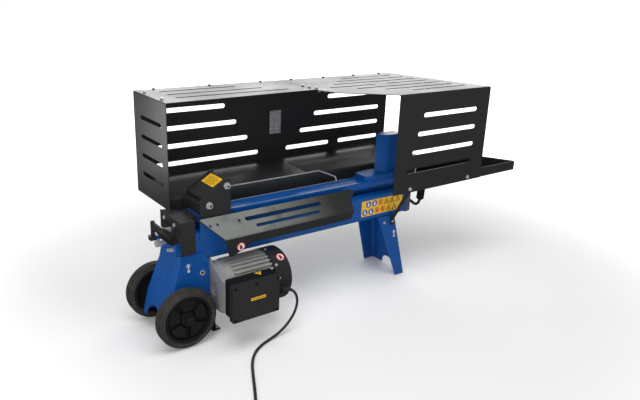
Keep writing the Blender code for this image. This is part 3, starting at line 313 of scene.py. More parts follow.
def worn_sheet_with_painted_shade(name, colour, black):
    """Black coat that sliding wood has rubbed through to a streaked grey on the upper side, with
    painted shade that darkens the grey towards +X.
    """
    shade = Shade(name, colour, 0.42, 0.0)
    streaks = shade.noise(34.0, 8.0, 0.70, shade.stretched((0.35, 5.0, 5.0), (0.0, 0.0, 0.05)))
    fine = shade.noise(210.0, 5.0, 0.6, shade.stretched((0.12, 6.0, 6.0), (0.0, 0.0, -0.04)))
    patch = shade.noise(9.0, 5.0, 0.62)
    # painted shade: the grain's brightness falls from 1.05 to 0.16 along X, darker towards the right
    # end
    along = shade.between(shade.axis("X"), -0.34, -0.10, 1.05, 0.16)
    facing = shade.between(shade.up(), 0.35, 0.62)
    bare = shade.maths("MULTIPLY", facing, shade.between(patch, 0.22, 0.46))
    grain = shade.blend(streaks, tint(colour, 0.62), tint(colour, 1.45))
    grain = shade.blend(shade.maths("MULTIPLY", fine, 0.35), grain, tint(colour, 2.0))
    bright = shade.node("ShaderNodeHueSaturation")
    shade.link(grain, bright.inputs["Color"])
    shade.link(along, bright.inputs["Value"])
    shade.set("Base Color", shade.blend(bare, black, bright.outputs["Color"]))
    shade.set("Roughness", shade.between(streaks, 0.3, 0.7, 0.34, 0.52))
    shade.bump(fine, 0.12, 0.0003)
    return shade.material


def cast_metal(name, colour, roughness=0.45, metallic=0.55):
    """Sand-cast or drawn aluminium: fine grain, soft stains and pits."""
    shade = Shade(name, colour, roughness, metallic)
    stain = shade.noise(18.0, 5.0, 0.6)
    grain = shade.noise(620.0, 3.0)
    shade.set("Base Color", shade.blend(stain, tint(colour, 0.82), tint(colour, 1.16)))
    shade.set("Roughness", shade.between(stain, 0.3, 0.7, roughness - 0.06, roughness + 0.08))
    shade.bump(grain, 0.22, 0.0004)
    return shade.material


def bright_metal(name, colour=(0.62, 0.63, 0.64), roughness=0.24, along=(1.0, 1.0, 1.0)):
    """Zinc-plated or turned steel with faint turning marks."""
    shade = Shade(name, colour, roughness, 0.55)
    marks = shade.noise(500.0, 3.0, 0.5, shade.stretched(along))
    cloud = shade.noise(60.0, 3.0)
    shade.set("Base Color", shade.blend(cloud, tint(colour, 0.86), tint(colour, 1.10)))
    shade.set("Roughness", shade.between(marks, 0.35, 0.65, roughness - 0.06, roughness + 0.10))
    shade.bump(marks, 0.02, 0.0001)
    return shade.material


def moulded(name, colour, roughness=0.48, spark=0.22):
    """Moulded plastic with a spark-eroded texture."""
    shade = Shade(name, colour, roughness, 0.0, 0.4)
    leather = shade.cells(900.0)
    cloud = shade.noise(14.0, 3.0)
    shade.set("Base Color", shade.blend(cloud, tint(colour, 0.88), tint(colour, 1.14)))
    shade.set("Roughness", shade.between(cloud, 0.3, 0.7, roughness - 0.04, roughness + 0.06))
    shade.bump(leather, spark, 0.0003)
    return shade.material


def tyre_rubber(name, colour):
    """Solid tyre: dull rubber, brownish and dusty on the tread, with fine ring marks."""
    shade = Shade(name, colour, 0.72, 0.0, 0.35)
    dust = shade.noise(45.0, 6.0, 0.65)
    rings = shade.noise(300.0, 3.0, 0.5, shade.stretched((0.2, 3.0, 0.2)))
    toned = shade.blend(shade.between(dust, 0.35, 0.75), colour, (0.062, 0.057, 0.050))
    shade.set("Base Color", toned)
    shade.set("Roughness", shade.between(dust, 0.3, 0.7, 0.60, 0.82))
    shade.bump(rings, 0.18, 0.0003)
    shade.bump(shade.noise(900.0, 2.0), 0.12, 0.0002)
    return shade.material


def flat_print(name, colour, roughness=0.42):
    """Printed vinyl label, with a slight waviness from the paint below."""
    shade = Shade(name, colour, roughness, 0.0, 0.45)
    ink = shade.noise(70.0, 3.0)
    shade.set("Base Color", shade.blend(ink, tint(colour, 0.93), tint(colour, 1.05)))
    shade.bump(shade.noise(300.0, 2.0), 0.05, 0.0002)
    return shade.material


def make_materials(paint):
    MATERIALS.update({
        "blue_paint": coated("frame_blue", paint.blue, paint.paint_gloss, 0.08, 0.5),
        "black_paint": coated("sheet_black", paint.black, paint.coat_gloss),
        "worn_paint": worn_sheet_with_painted_shade("chute_rubbed_painted_shade", paint.worn, paint.black),
        "steel": bright_metal("plated_steel"),
        "chrome": bright_metal("rod_chrome", (0.78, 0.78, 0.80), 0.12),
        "iron": cast_metal("cast_iron", (0.060, 0.060, 0.060), 0.55, 0.3),
        "aluminium": cast_metal("motor_casting", paint.cast),
        "copper": cast_metal("winding_copper", (0.42, 0.17, 0.07), 0.40, 0.8),
        "black_plastic": moulded("box_plastic", paint.plastic),
        "hub_plastic": moulded("hub_plastic", tint(paint.plastic, 1.25), 0.42, 0.14),
        # lighter copy of the box plastic: painted light for the lid's lit face
        "lid_plastic_painted_light": moulded("lid_plastic_painted_light", tint(paint.plastic, 2.6), 0.44, 0.16),
        "grey_plastic": moulded("cap_plastic", (0.085, 0.095, 0.120), 0.40),
        "tyre": tyre_rubber("tyre_rubber", paint.rubber),
        "cord_rubber": moulded("cord_sheath", (0.032, 0.032, 0.033), 0.46, 0.10),
        "zinc": bright_metal("white_zinc", (0.82, 0.82, 0.80), 0.20),
        # near-black moulding for painted shade in holes, slots and sockets
        "recess": moulded("painted_hole_shade", (0.004, 0.004, 0.004), 0.60, 0.05),
        "yellow": flat_print("label_yellow", paint.label),
        "print_black": flat_print("label_black", (0.012, 0.012, 0.012)),
        "print_white": flat_print("label_white", (0.80, 0.80, 0.80)),
        "print_red": flat_print("label_red", (0.620, 0.020, 0.022)),
        "print_blue": flat_print("label_blue", (0.010, 0.080, 0.420)),
    })


# ------------------------------------------------------------------ meshes

def link(obj):
    bpy.context.scene.collection.objects.link(obj)
    return obj


def set_smooth(data, degrees=32.0):
    data.polygons.foreach_set("use_smooth", [True] * len(data.polygons))
    data.set_sharp_from_angle(angle=math.radians(degrees))


def round_edges(obj, width, segments=2, degrees=28.0):
    if width <= 0:
        return
    mod = obj.modifiers.new("edge", "BEVEL")
    mod.width = width
    mod.segments = segments
    mod.limit_method = "ANGLE"
    mod.angle_limit = math.radians(degrees)
    mod.use_clamp_overlap = True
    mod.harden_normals = True


def piece(name, bm, materials, body, degrees=32.0, width=0.0, segments=2):
    """A finished piece from a bmesh whose points are in the row frame."""
    data = bpy.data.meshes.new(name)
    bm.to_mesh(data)
    bm.free()
    obj = link(bpy.data.objects.new(name, data))
    for material in materials:
        data.materials.append(MATERIALS[material])
    set_smooth(data, degrees)
    round_edges(obj, width, segments)
    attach(obj, body)
    return obj


def skin(node, material=None, width=0.0, segments=2, smooth=32.0, other=None, cut=None,
         chosen=None):
    """A merged copy of a CAD node with rounded edges, which stands for that node.

    other paints the faces that chosen picks by their middle and normal, after a cut across X.
    """
    source = NODES[node]
    bm = bmesh.new()
    bm.from_mesh(source.data)
    bmesh.ops.remove_doubles(bm, verts=bm.verts, dist=1e-6)
    bmesh.ops.dissolve_limit(bm, angle_limit=math.radians(0.4), verts=bm.verts, edges=bm.edges)
    if cut is not None:
        bmesh.ops.bisect_plane(bm, geom=bm.verts[:] + bm.edges[:] + bm.faces[:], dist=1e-6,
                               plane_co=(cut, 0, 0), plane_no=(1, 0, 0))
    bm.normal_update()
    slot = SLOT_OF[node]
    paints = [material or slot]
    if other:
        paints.append(other)
        for face in bm.faces:
            face.material_index = int(chosen(face.calc_center_median(), face.normal))
    obj = piece(node + "_skin", bm, paints, BODY_OF[node], smooth, width, segments)
    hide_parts(node)
    return obj


FILM = 0.00025      # thickness of a label's film
PRINT = 0.0004      # top of the print on it
FIGURE = 0.0005     # top of a figure on that print


def add_prism(bm, outline, centre, u_axis, v_axis, low, high, index=0):
    """A closed prism: an outline in (u, v) raised along the normal from low to high."""
    normal = u_axis.cross(v_axis).normalized()
    base = [bm.verts.new(centre + u_axis * u + v_axis * v + normal * low) for u, v in outline]
    top = [bm.verts.new(centre + u_axis * u + v_axis * v + normal * high) for u, v in outline]
    faces = [bm.faces.new(list(reversed(base))), bm.faces.new(top)]
    for i in range(len(base)):
        j = (i + 1) % len(base)
        faces.append(bm.faces.new((base[i], base[j], top[j], top[i])))
    for face in faces:
        face.material_index = index
    return faces


def bridge(bm, loops, index=0):
    """Quads between each closed loop of points and the next."""
    for first, second in zip(loops, loops[1:]):
        for i in range(len(first)):
            j = (i + 1) % len(first)
            bm.faces.new((first[i], first[j], second[j], second[i])).material_index = index


def disc_outline(u, v, radius, steps=28):
    return [(u + radius * math.cos(2 * math.pi * i / steps),
             v + radius * math.sin(2 * math.pi * i / steps)) for i in range(steps)]


def box_outline(u0, v0, u1, v1, corner=0.0, steps=3):
    if corner <= 0:
        return [(u0, v0), (u1, v0), (u1, v1), (u0, v1)]
    points = []
    for cu, cv, start in ((u1 - corner, v0 + corner, -90), (u1 - corner, v1 - corner, 0),
                          (u0 + corner, v1 - corner, 90), (u0 + corner, v0 + corner, 180)):
        for i in range(steps + 1):
            angle = math.radians(start + 90 * i / steps)
            points.append((cu + corner * math.cos(angle), cv + corner * math.sin(angle)))
    return points


def lathe(bm, profile, centre, axis, steps=48, index=0):
    """Closed solid of revolution. The profile is a loop of (radius, distance along the axis)."""
    axis = Vector(axis).normalized()
    side = Z_AXIS if abs(axis.z) < 0.9 else X_AXIS
    u_axis = side.cross(axis).normalized()
    v_axis = axis.cross(u_axis)
    rings = []
    for radius, distance in profile:
        middle = centre + axis * distance
        if radius < 1e-7:
            rings.append([bm.verts.new(middle)])
            continue
        rings.append([bm.verts.new(middle + (u_axis * math.cos(a) + v_axis * math.sin(a)) * radius)
                      for a in (2 * math.pi * i / steps for i in range(steps))])
    faces = []
    hollow = all(radius > 1e-7 for radius, _ in profile)
    pairs = list(zip(rings, rings[1:] + ([rings[0]] if hollow else [])))
    for first, second in pairs:
        if len(first) == 1 and len(second) == 1:
            continue
        for i in range(steps):
            j = (i + 1) % steps
            if len(first) == 1:
                corners = (first[0], second[j], second[i])
            elif len(second) == 1:
                corners = (first[i], first[j], second[0])
            else:
                corners = (first[i], first[j], second[j], second[i])
            faces.append(bm.faces.new(corners))
    for face in faces:
        face.material_index = index
    bmesh.ops.recalc_face_normals(bm, faces=faces)
    return faces


# ------------------------------------------------------------------ geometry node trees

def new_tree(name, inputs):
    tree = bpy.data.node_groups.new(name, "GeometryNodeTree")
    tree.interface.new_socket("Geometry", in_out="INPUT", socket_type="NodeSocketGeometry")
    sockets = {}
    for label, kind, default in inputs:
        socket = tree.interface.new_socket(label, in_out="INPUT", socket_type=kind)
        if default is not None:
            socket.default_value = default
        sockets[label] = socket.identifier
    tree.interface.new_socket("Geometry", in_out="OUTPUT", socket_type="NodeSocketGeometry")
    source = tree.nodes.new("NodeGroupInput")
    result = tree.nodes.new("NodeGroupOutput")
    return tree, source, result, sockets


def fastener_tree():
    """A bolt or screw head on its washer at every point, square to the point's facing."""
    tree, source, result, sockets = new_tree("fasteners", (
        ("Sides", "NodeSocketInt", 6), ("Head Radius", "NodeSocketFloat", 0.0046),
        ("Head Height", "NodeSocketFloat", 0.0035), ("Washer Radius", "NodeSocketFloat", 0.006),
        ("Washer Height", "NodeSocketFloat", 0.001), ("Material", "NodeSocketMaterial", None)))
    nodes, links = tree.nodes, tree.links

    def cylinder(sides, radius, height, lift):
        solid = nodes.new("GeometryNodeMeshCylinder")
        if isinstance(sides, int):
            solid.inputs["Vertices"].default_value = sides
        else:
            links.new(sides, solid.inputs["Vertices"])
        links.new(radius, solid.inputs["Radius"])
        links.new(height, solid.inputs["Depth"])
        half = nodes.new("ShaderNodeMath")
        half.operation = "MULTIPLY_ADD"
        links.new(height, half.inputs[0])
        half.inputs[1].default_value = 0.5
        if lift is not None:
            links.new(lift, half.inputs[2])
        else:
            half.inputs[2].default_value = 0.0
        move = nodes.new("ShaderNodeCombineXYZ")
        links.new(half.outputs[0], move.inputs["Z"])
        place = nodes.new("GeometryNodeTransform")
        links.new(solid.outputs["Mesh"], place.inputs["Geometry"])
        links.new(move.outputs[0], place.inputs["Translation"])
        return place.outputs["Geometry"]

    out = source.outputs
    washer = cylinder(24, out["Washer Radius"], out["Washer Height"], None)
    head = cylinder(out["Sides"], out["Head Radius"], out["Head Height"], out["Washer Height"])
    join = nodes.new("GeometryNodeJoinGeometry")
    links.new(washer, join.inputs[0])
    links.new(head, join.inputs[0])
    facing = nodes.new("GeometryNodeInputNamedAttribute")
    facing.data_type = "FLOAT_VECTOR"
    facing.inputs["Name"].default_value = "facing"
    turn = nodes.new("FunctionNodeAlignRotationToVector")
    turn.axis = "Z"
    links.new(facing.outputs["Attribute"], turn.inputs["Vector"])
    spread = nodes.new("GeometryNodeInstanceOnPoints")
    links.new(out["Geometry"], spread.inputs["Points"])
    links.new(join.outputs[0], spread.inputs["Instance"])
    links.new(turn.outputs["Rotation"], spread.inputs["Rotation"])
    real = nodes.new("GeometryNodeRealizeInstances")
    links.new(spread.outputs["Instances"], real.inputs["Geometry"])
    paint = nodes.new("GeometryNodeSetMaterial")
    links.new(real.outputs["Geometry"], paint.inputs["Geometry"])
    links.new(out["Material"], paint.inputs["Material"])
    links.new(paint.outputs["Geometry"], result.inputs["Geometry"])
    return tree, sockets


def repeat_tree():
    """Copies of the input, each moved or turned one more step than the last."""
    tree, source, result, sockets = new_tree("repeat", (
        ("Count", "NodeSocketInt", 5), ("Step", "NodeSocketVector", (0.0, 0.0, 0.0)),
        ("Turn", "NodeSocketVector", (0.0, 0.0, 0.0)),
        ("Pivot", "NodeSocketVector", (0.0, 0.0, 0.0)), ("Material", "NodeSocketMaterial", None)))
    nodes, links = tree.nodes, tree.links
    out = source.outputs
    wrap = nodes.new("GeometryNodeGeometryToInstance")
    links.new(out["Geometry"], wrap.inputs[0])
    copies = nodes.new("GeometryNodeDuplicateElements")
    copies.domain = "INSTANCE"
    links.new(wrap.outputs[0], copies.inputs["Geometry"])
    links.new(out["Count"], copies.inputs["Amount"])
    index = copies.outputs["Duplicate Index"]

    def scaled(vector):
        node = nodes.new("ShaderNodeVectorMath")
        node.operation = "SCALE"
        links.new(vector, node.inputs[0])
        links.new(index, node.inputs["Scale"])
        return node.outputs["Vector"]

    move = nodes.new("GeometryNodeTranslateInstances")
    links.new(copies.outputs["Geometry"], move.inputs["Instances"])
    links.new(scaled(out["Step"]), move.inputs["Translation"])
    move.inputs["Local Space"].default_value = False
    turn = nodes.new("GeometryNodeRotateInstances")
    links.new(move.outputs["Instances"], turn.inputs["Instances"])
    links.new(scaled(out["Turn"]), turn.inputs["Rotation"])
    links.new(out["Pivot"], turn.inputs["Pivot Point"])
    turn.inputs["Local Space"].default_value = False
    real = nodes.new("GeometryNodeRealizeInstances")
    links.new(turn.outputs["Instances"], real.inputs["Geometry"])
    paint = nodes.new("GeometryNodeSetMaterial")
    links.new(real.outputs["Geometry"], paint.inputs["Geometry"])
    links.new(out["Material"], paint.inputs["Material"])
    links.new(paint.outputs["Geometry"], result.inputs["Geometry"])
    return tree, sockets


TREES = {}


def tree_of(name, maker):
    if name not in TREES:
        TREES[name] = maker()
    return TREES[name]


def grown(name, data, tree_and_sockets, values, body, width=0.0):
    """Runs a node tree on a mesh and keeps the plain mesh that comes out."""
    tree, sockets = tree_and_sockets
    seed = link(bpy.data.objects.new(name + "_seed", data))
    mod = seed.modifiers.new("grow", "NODES")
    mod.node_group = tree
    for label, value in values.items():
        mod[sockets[label]] = value
    graph = bpy.context.evaluated_depsgraph_get()
    made = bpy.data.meshes.new_from_object(seed.evaluated_get(graph))
    seed.modifiers.remove(mod)
    bpy.data.objects.remove(seed)
    made.name = name
    set_smooth(made)
    obj = link(bpy.data.objects.new(name, made))
    round_edges(obj, width)
    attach(obj, body)
    return obj


def fasteners(name, places, body, material, sides, head, height, washer, lift=0.001, width=0.0004):
    """Bolt or screw heads. Each place is a point in the row frame and the way it faces."""
    data = bpy.data.meshes.new(name + "_points")
    data.from_pydata([tuple(point) for point, _ in places], [], [])
    facing = data.attributes.new("facing", "FLOAT_VECTOR", "POINT")
    for item, (_, direction) in zip(facing.data, places):
        item.vector = Vector(direction).normalized()
    values = {"Sides": sides, "Head Radius": head, "Head Height": height,
              "Washer Radius": washer, "Washer Height": lift, "Material": MATERIALS[material]}
    return grown(name, data, tree_of("fasteners", fastener_tree), values, body, width)


def repeated(name, bm, count, body, material, step=(0, 0, 0), turn=(0, 0, 0),
             pivot=(0, 0, 0), width=0.0):
    data = bpy.data.meshes.new(name + "_one")
    bm.to_mesh(data)
    bm.free()
    values = {"Count": count, "Step": tuple(step), "Turn": tuple(turn), "Pivot": tuple(pivot),
              "Material": MATERIALS[material]}
    return grown(name, data, tree_of("repeat", repeat_tree), values, body, width)


# ------------------------------------------------------------------ stage

CAMERA_PLACE = (-0.62211, -1.41332, 0.89)
CAMERA_LENS = 36.45
CAMERA_RIGHT = Vector((0.7972, -0.6024, 0.0406))
CAMERA_UP = Vector((0.1651, 0.2821, 0.9451))
CAMERA_FORWARD = Vector((0.5807, 0.7467, -0.3243))
FLOOR_HALF = 9.0            # the floor is a square of twice this
FLOOR_TOP = -0.0005         # a hair under the wheels
GLOW_NEAR, GLOW_FAR = 0.7, 1.9      # the floor turns white between these distances
GLOW_LEAST = 0.08           # strength of its glow nearest the machine


class LOGSPLITTER_OT_stage(bpy.types.Operator):
    """Makes the floor, the white surround, the soft lights and the camera"""
    bl_idname = "logsplitter.stage"
    bl_label = "Stage"

    def execute(self, context):
        settings = context.scene.logsplitter_stage
        scene = context.scene
        scene.view_settings.view_transform = "Standard"
        self.make_camera(scene)
        self.make_surround(scene, settings)
        self.make_lights(settings)
        self.make_floor()
        return {"FINISHED"}

    def make_camera(self, scene):
        camera = bpy.data.cameras.new("camera")
        camera.sensor_width = 36.0
        camera.lens = CAMERA_LENS
        camera.clip_end = 50.0
        eye = link(bpy.data.objects.new("camera", camera))
        turn = Matrix((CAMERA_RIGHT, CAMERA_UP, -CAMERA_FORWARD)).transposed()
        eye.matrix_world = Matrix.Translation(at(*CAMERA_PLACE)) @ turn.to_4x4()
        scene.camera = eye

    def make_surround(self, scene, settings):
        """White to the camera, and dimmer where it lights surfaces or is reflected."""
        world = bpy.data.worlds.new("surround")
        world.use_nodes = True
        nodes, links = world.node_tree.nodes, world.node_tree.links
        nodes.clear()
        rays = nodes.new("ShaderNodeLightPath")
        plain = nodes.new("ShaderNodeMapRange")
        links.new(rays.outputs["Is Glossy Ray"], plain.inputs["Value"])
        plain.inputs["To Min"].default_value = settings.surround
        plain.inputs["To Max"].default_value = settings.mirrored
        level = nodes.new("ShaderNodeMix")
        links.new(rays.outputs["Is Camera Ray"], level.inputs["Factor"])
        links.new(plain.outputs["Result"], level.inputs["A"])
        level.inputs["B"].default_value = 1.0
        back = nodes.new("ShaderNodeBackground")
        links.new(level.outputs["Result"], back.inputs["Strength"])
        out = nodes.new("ShaderNodeOutputWorld")
        links.new(back.outputs[0], out.inputs["Surface"])
        back.inputs["Color"].default_value = (1.0, 1.0, 1.0, 1.0)
        scene.world = world

    def make_lights(self, settings):
        """Two soft lights, and two cards that reflections show."""
        for name, place, aim, size, power, mirrored in (
                ("key_light", (0.1, -0.7, 2.4), (0.3, 0.0, 0.2), (2.4, 1.6), settings.key, False),
                ("side_light", (-0.95, -0.95, 0.80), (0.0, 0.0, 0.2), (1.2, 0.9), settings.side,
                 False),
                ("end_card", (-0.155, 0.36, 0.43), (0.5, 0.36, 0.43), (0.26, 0.26), 0.45, True),
                ("back_card", (3.1, 3.4, 2.0), (0.5, 0.1, 0.6), (6.0, 2.6), settings.back,
                 True)):
            lamp = bpy.data.lights.new(name, "AREA")
            lamp.shape = "RECTANGLE"
            lamp.size, lamp.size_y = size
            lamp.energy = power
            holder = link(bpy.data.objects.new(name, lamp))
            holder.location = at(*place)
            holder.rotation_euler = (at(*aim) - at(*place)).to_track_quat("-Z", "Y").to_euler()
            holder.visible_glossy = mirrored
            holder.visible_camera = False

    def make_floor(self):
        """Pale matt floor that takes the shadow and fades into the white surround."""
        floor = Shade("studio_floor", (0.91, 0.91, 0.915), 0.7, 0.0, 0.1)
        grain = floor.noise(30.0, 3.0)
        floor.set("Roughness", floor.between(grain, 0.3, 0.7, 0.66, 0.76))
        reach = floor.node("ShaderNodeVectorMath", operation="LENGTH")
        floor.link(floor.coords, reach.inputs[0])
        far = floor.node("ShaderNodeMapRange", interpolation_type="SMOOTHSTEP")
        floor.link(reach.outputs["Value"], far.inputs["Value"])
        far.inputs["From Min"].default_value = GLOW_NEAR
        far.inputs["From Max"].default_value = GLOW_FAR
        far.inputs["To Min"].default_value = GLOW_LEAST
        floor.set("Emission Color", (1.0, 1.0, 1.0, 1.0))
        floor.set("Emission Strength", far.outputs["Result"])
        bm = bmesh.new()
        add_prism(bm, box_outline(-FLOOR_HALF, -FLOOR_HALF, FLOOR_HALF, FLOOR_HALF),
                  Vector((0, 0, 0)), X_AXIS, Y_AXIS, -0.02, FLOOR_TOP)
        data = bpy.data.meshes.new("studio_floor")
        bm.to_mesh(data)
        bm.free()
        data.materials.append(floor.material)
        ground = link(bpy.data.objects.new("studio_floor", data))
        ground.visible_glossy = False


# ------------------------------------------------------------------ mains cord

# the cord's centre line, from the gland to the start of its coil, in metres from the axle
CORD_ROUTE = [
    (0.2365, -0.168, 0.122), (0.248, -0.168, 0.1215), (0.261, -0.169, 0.117),
    (0.272, -0.170, 0.108), (0.279, -0.172, 0.094), (0.279, -0.175, 0.076),
    (0.271, -0.178, 0.056), (0.256, -0.181, 0.038), (0.235, -0.184, 0.022),
    (0.210, -0.187, 0.0105), (0.185, -0.191, 0.0052), (0.160, -0.199, 0.0041),
    (0.134, -0.213, 0.0041), (0.111, -0.233, 0.0041), (0.091, -0.259, 0.0041),
    (0.073, -0.290, 0.0041), (0.055, -0.324, 0.0041), (0.037, -0.358, 0.0041),
    (0.018, -0.392, 0.0041), (-0.001, -0.425, 0.0041), (-0.020, -0.456, 0.0041),
    (-0.038, -0.486, 0.0041)]
COIL_INSIDE = 0.0379        # centre line radius of the inner turns
COIL_OUTSIDE = 0.0455       # and of the outer turns
COIL_LEAD_IN = 0.0516       # where the cord joins the coil
COIL_FIRST = 0.0461         # and of the first turn
COIL_SWINGS = (             # degrees of winding from and to which the radius changes, and by what
    (0, 110, COIL_FIRST - COIL_LEAD_IN), (290, 480, COIL_INSIDE - COIL_FIRST),
    (660, 900, COIL_OUTSIDE - COIL_INSIDE), (1020, 1260, COIL_INSIDE - COIL_OUTSIDE),
    (1380, 1620, COIL_OUTSIDE - COIL_INSIDE), (1740, 1980, COIL_INSIDE - COIL_OUTSIDE))
COIL_RISE = 0.0073          # from layer to layer
COIL_LIFTS = (540, 900, 1260, 1620)     # degrees of winding at which each new layer starts
LIFT_SPAN = 120             # degrees that the cord takes to rise by a layer
STEP_ANGLE = 9.0            # degrees of winding from point to point
TURNS = (1600.0, 1800.0)    # the winding ends between these, in degrees
TAIL_LEAVE = 0.090          # how far the tail runs on along the coil
TAIL_ENTER = 0.020          # how far it runs straight into the plug
TAIL_STEPS = 16
PLUG_GAP = 0.004            # from the end of the cord to the plug's box
PLUG_HEIGHT = 0.0165        # of the plug's middle over the floor
LENGTH_SLACK = 0.002        # how far the cord may be from its length
RELIEF_LENGTH = 0.030


def through(points, per_span):
    """Catmull-Rom line through points."""
    route = [Vector(p) for p in points]
    ends = [2 * route[0] - route[1]] + route + [2 * route[-1] - route[-2]]
    line = []
    for i in range(1, len(ends) - 2):
        a, b, c, d = ends[i - 1:i + 3]
        for k in range(per_span):
            t = k / per_span
            line.append(0.5 * ((2 * b) + (c - a) * t + (2 * a - 5 * b + 4 * c - d) * t ** 2
                               + (3 * b - a - 3 * c + d) * t ** 3))
    line.append(route[-1])
    return line


def eased(value, start, end):
    t = min(1.0, max(0.0, (value - start) / (end - start)))
    return t * t * (3 - 2 * t)


def coil_radius(turned):
    """Radius of the centre line after so many degrees of winding."""
    return COIL_LEAD_IN + sum(change * eased(turned, start, end)
                              for start, end, change in COIL_SWINGS)


def coil_height(turned, floor):
    return floor + COIL_RISE * sum(eased(turned, start, start + LIFT_SPAN)
                                   for start in COIL_LIFTS)


def length_of(points):
    return sum((b - a).length for a, b in zip(points, points[1:]))


class LOGSPLITTER_OT_cord(bpy.types.Operator):
    """Makes the mains cord with its coil, its strain relief and its plug"""
    bl_idname = "logsplitter.cord"
    bl_label = "Mains cord"

    def execute(self, context):
        settings = context.scene.logsplitter_cord
        radius = settings.diameter / 2
        lead = [AXLE + p for p in through(CORD_ROUTE, 6)]
        coil = centre_of("cord_coil")
        coil.z = 0.0
        start = lead[-1] - coil
        begin = math.atan2(start.y, start.x)
        floor = CORD_ROUTE[-1][2]
        plug_low, plug_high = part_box("mains_plug")
        plug_at = (plug_low + plug_high) / 2
        entry = Vector((plug_low.x - PLUG_GAP, plug_at.y, PLUG_HEIGHT))

        def winding(until):
            points, turned = [], 0.0
            while turned < until:
                turned = min(until, turned + STEP_ANGLE)
                angle = begin + math.radians(turned)
                r = coil_radius(turned)
                points.append(coil + Vector((r * math.cos(angle), r * math.sin(angle),
                                             coil_height(turned, floor))))
            return points

        def tail(points, turned):
            """Leaves the coil along its tangent and swings into the plug."""
            angle = begin + math.radians(turned)
            heading = Vector((-math.sin(angle), math.cos(angle), 0.0))
            a, d = points[-1], entry
            b, c = a + heading * TAIL_LEAVE, d - X_AXIS * TAIL_ENTER
            b.z, c.z = a.z, d.z
            return [((1 - t) ** 3) * a + 3 * t * (1 - t) ** 2 * b + 3 * t * t * (1 - t) * c
                    + t ** 3 * d for t in (i / TAIL_STEPS for i in range(1, TAIL_STEPS + 1))]

        def whole(turned):
            run = lead + winding(turned)
            return run + tail(run, turned)

        # the number of turns that uses up the whole length
        low, high = TURNS
        for _ in range(30):
            middle = (low + high) / 2
            if length_of(whole(middle)) < settings.length:
                low = middle
            else:
                high = middle
        points = whole(low)
        if abs(length_of(points) - settings.length) > LENGTH_SLACK:
            raise RuntimeError(f"the coil can't take a cord of {settings.length} m")

        cord = self.line(points, radius)
        relief = self.relief(lead, radius)
        plug = self.plug(plug_at, plug_low, plug_high, entry, radius)
        return {"FINISHED"}

    def line(self, points, radius):
        """The cord itself, as a round line through the points."""
        curve = bpy.data.curves.new("mains_cord_line", "CURVE")
        curve.dimensions = "3D"
        curve.bevel_depth = radius
        curve.bevel_resolution = 5
        curve.use_fill_caps = True
        spline = curve.splines.new("POLY")
        spline.points.add(len(points) - 1)
        for item, co in zip(spline.points, points):
            item.co = (*co, 1.0)
        spline.use_smooth = True
        curve.materials.append(MATERIALS["cord_rubber"])
        cord = link(bpy.data.objects.new("mains_cord_line", curve))
        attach(cord, BODY_OF["mains_cord"])
        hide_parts("mains_cord", "cord_coil")
        return cord

    def relief(self, lead, radius):
        """Ribbed rubber sleeve that follows the cord out of the gland."""
        bm = bmesh.new()
        path, walked = [lead[0]], 0.0
        for a, b in zip(lead, lead[1:]):
            walked += (b - a).length
            path.append(b)
            if walked > RELIEF_LENGTH:
                break
        total = length_of(path)
        rings, steps, done = [], 20, 0.0
        for i, point in enumerate(path):
            if i:
                done += (point - path[i - 1]).length
            ahead = path[min(i + 1, len(path) - 1)] - path[max(i - 1, 0)]
            ahead.normalize()
            side = ahead.cross(Y_AXIS).normalized()
            over = ahead.cross(side)
            t = done / total
            size = radius + 0.0003 + 0.0022 * (1 - t) + (0.0005 if i % 2 else 0.0)
            rings.append([bm.verts.new(point + (side * math.cos(a) + over * math.sin(a)) * size)
                          for a in (2 * math.pi * k / steps for k in range(steps))])
        bridge(bm, rings)
        bm.faces.new(list(reversed(rings[0])))
        bm.faces.new(rings[-1])
        bmesh.ops.recalc_face_normals(bm, faces=bm.faces)
        return piece("cord_strain_relief", bm, ["cord_rubber"], BODY_OF["mains_cord"],
                     60.0)

    def plug(self, middle, low, high, entry, radius):
        """Round two-pin plug body with its collar and pins."""
        bm = bmesh.new()
        height = high.z - low.z
        centre = Vector((low.x, middle.y, low.z + height / 2))
        half = height / 2 - 0.0005
        body = [(0.0, 0.0), (0.0058, 0.0), (0.0075, 0.006), (0.0110, 0.011), (0.0142, 0.014),
                (half - 0.001, 0.020), (half, 0.022), (half, 0.036), (half - 0.0012, 0.0375),
                (half - 0.0022, 0.0375), (half - 0.0022, 0.0345), (0.0, 0.0345)]
        lathe(bm, body, centre, (1, 0, 0), 40)
        sleeve = [(radius + 0.0004, -0.014), (radius + 0.0012, -0.0135), (0.0062, 0.0),
                  (0.0062, 0.002), (0.0, 0.002), (0.0, -0.014)]
        lathe(bm, sleeve, Vector((centre.x, centre.y, entry.z)), (1, 0, 0), 24)
        for side in (-1, 1):
            pin = [(0.0, 0.030), (0.0024, 0.030), (0.0024, 0.0462), (0.0016, 0.0474),
                   (0.0, 0.0476)]
            lathe(bm, pin, centre + Vector((0, side * 0.0095, 0)), (1, 0, 0), 16, 1)
        obj = piece("mains_plug_body", bm, ["black_plastic", "zinc"], BODY_OF["mains_plug"],
                    40.0)
        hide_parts("mains_plug")
        return obj


# ------------------------------------------------------------------ frame, cage and chute

CHEEK_UP = Vector((0, 0.0122, 0.092)).normalized()      # up the sloped cheek of the bracket
LEG_UP = Vector((0, 0.024, 0.2)).normalized()           # up the splayed front of the leg
RAIL_BLACK_SHADOW_END = 0.0668     # the rail is painted black to here: partly a black cover, partly the pusher's painted shadow
NOSE_DEPTH = 0.017          # the valve block is black to this depth


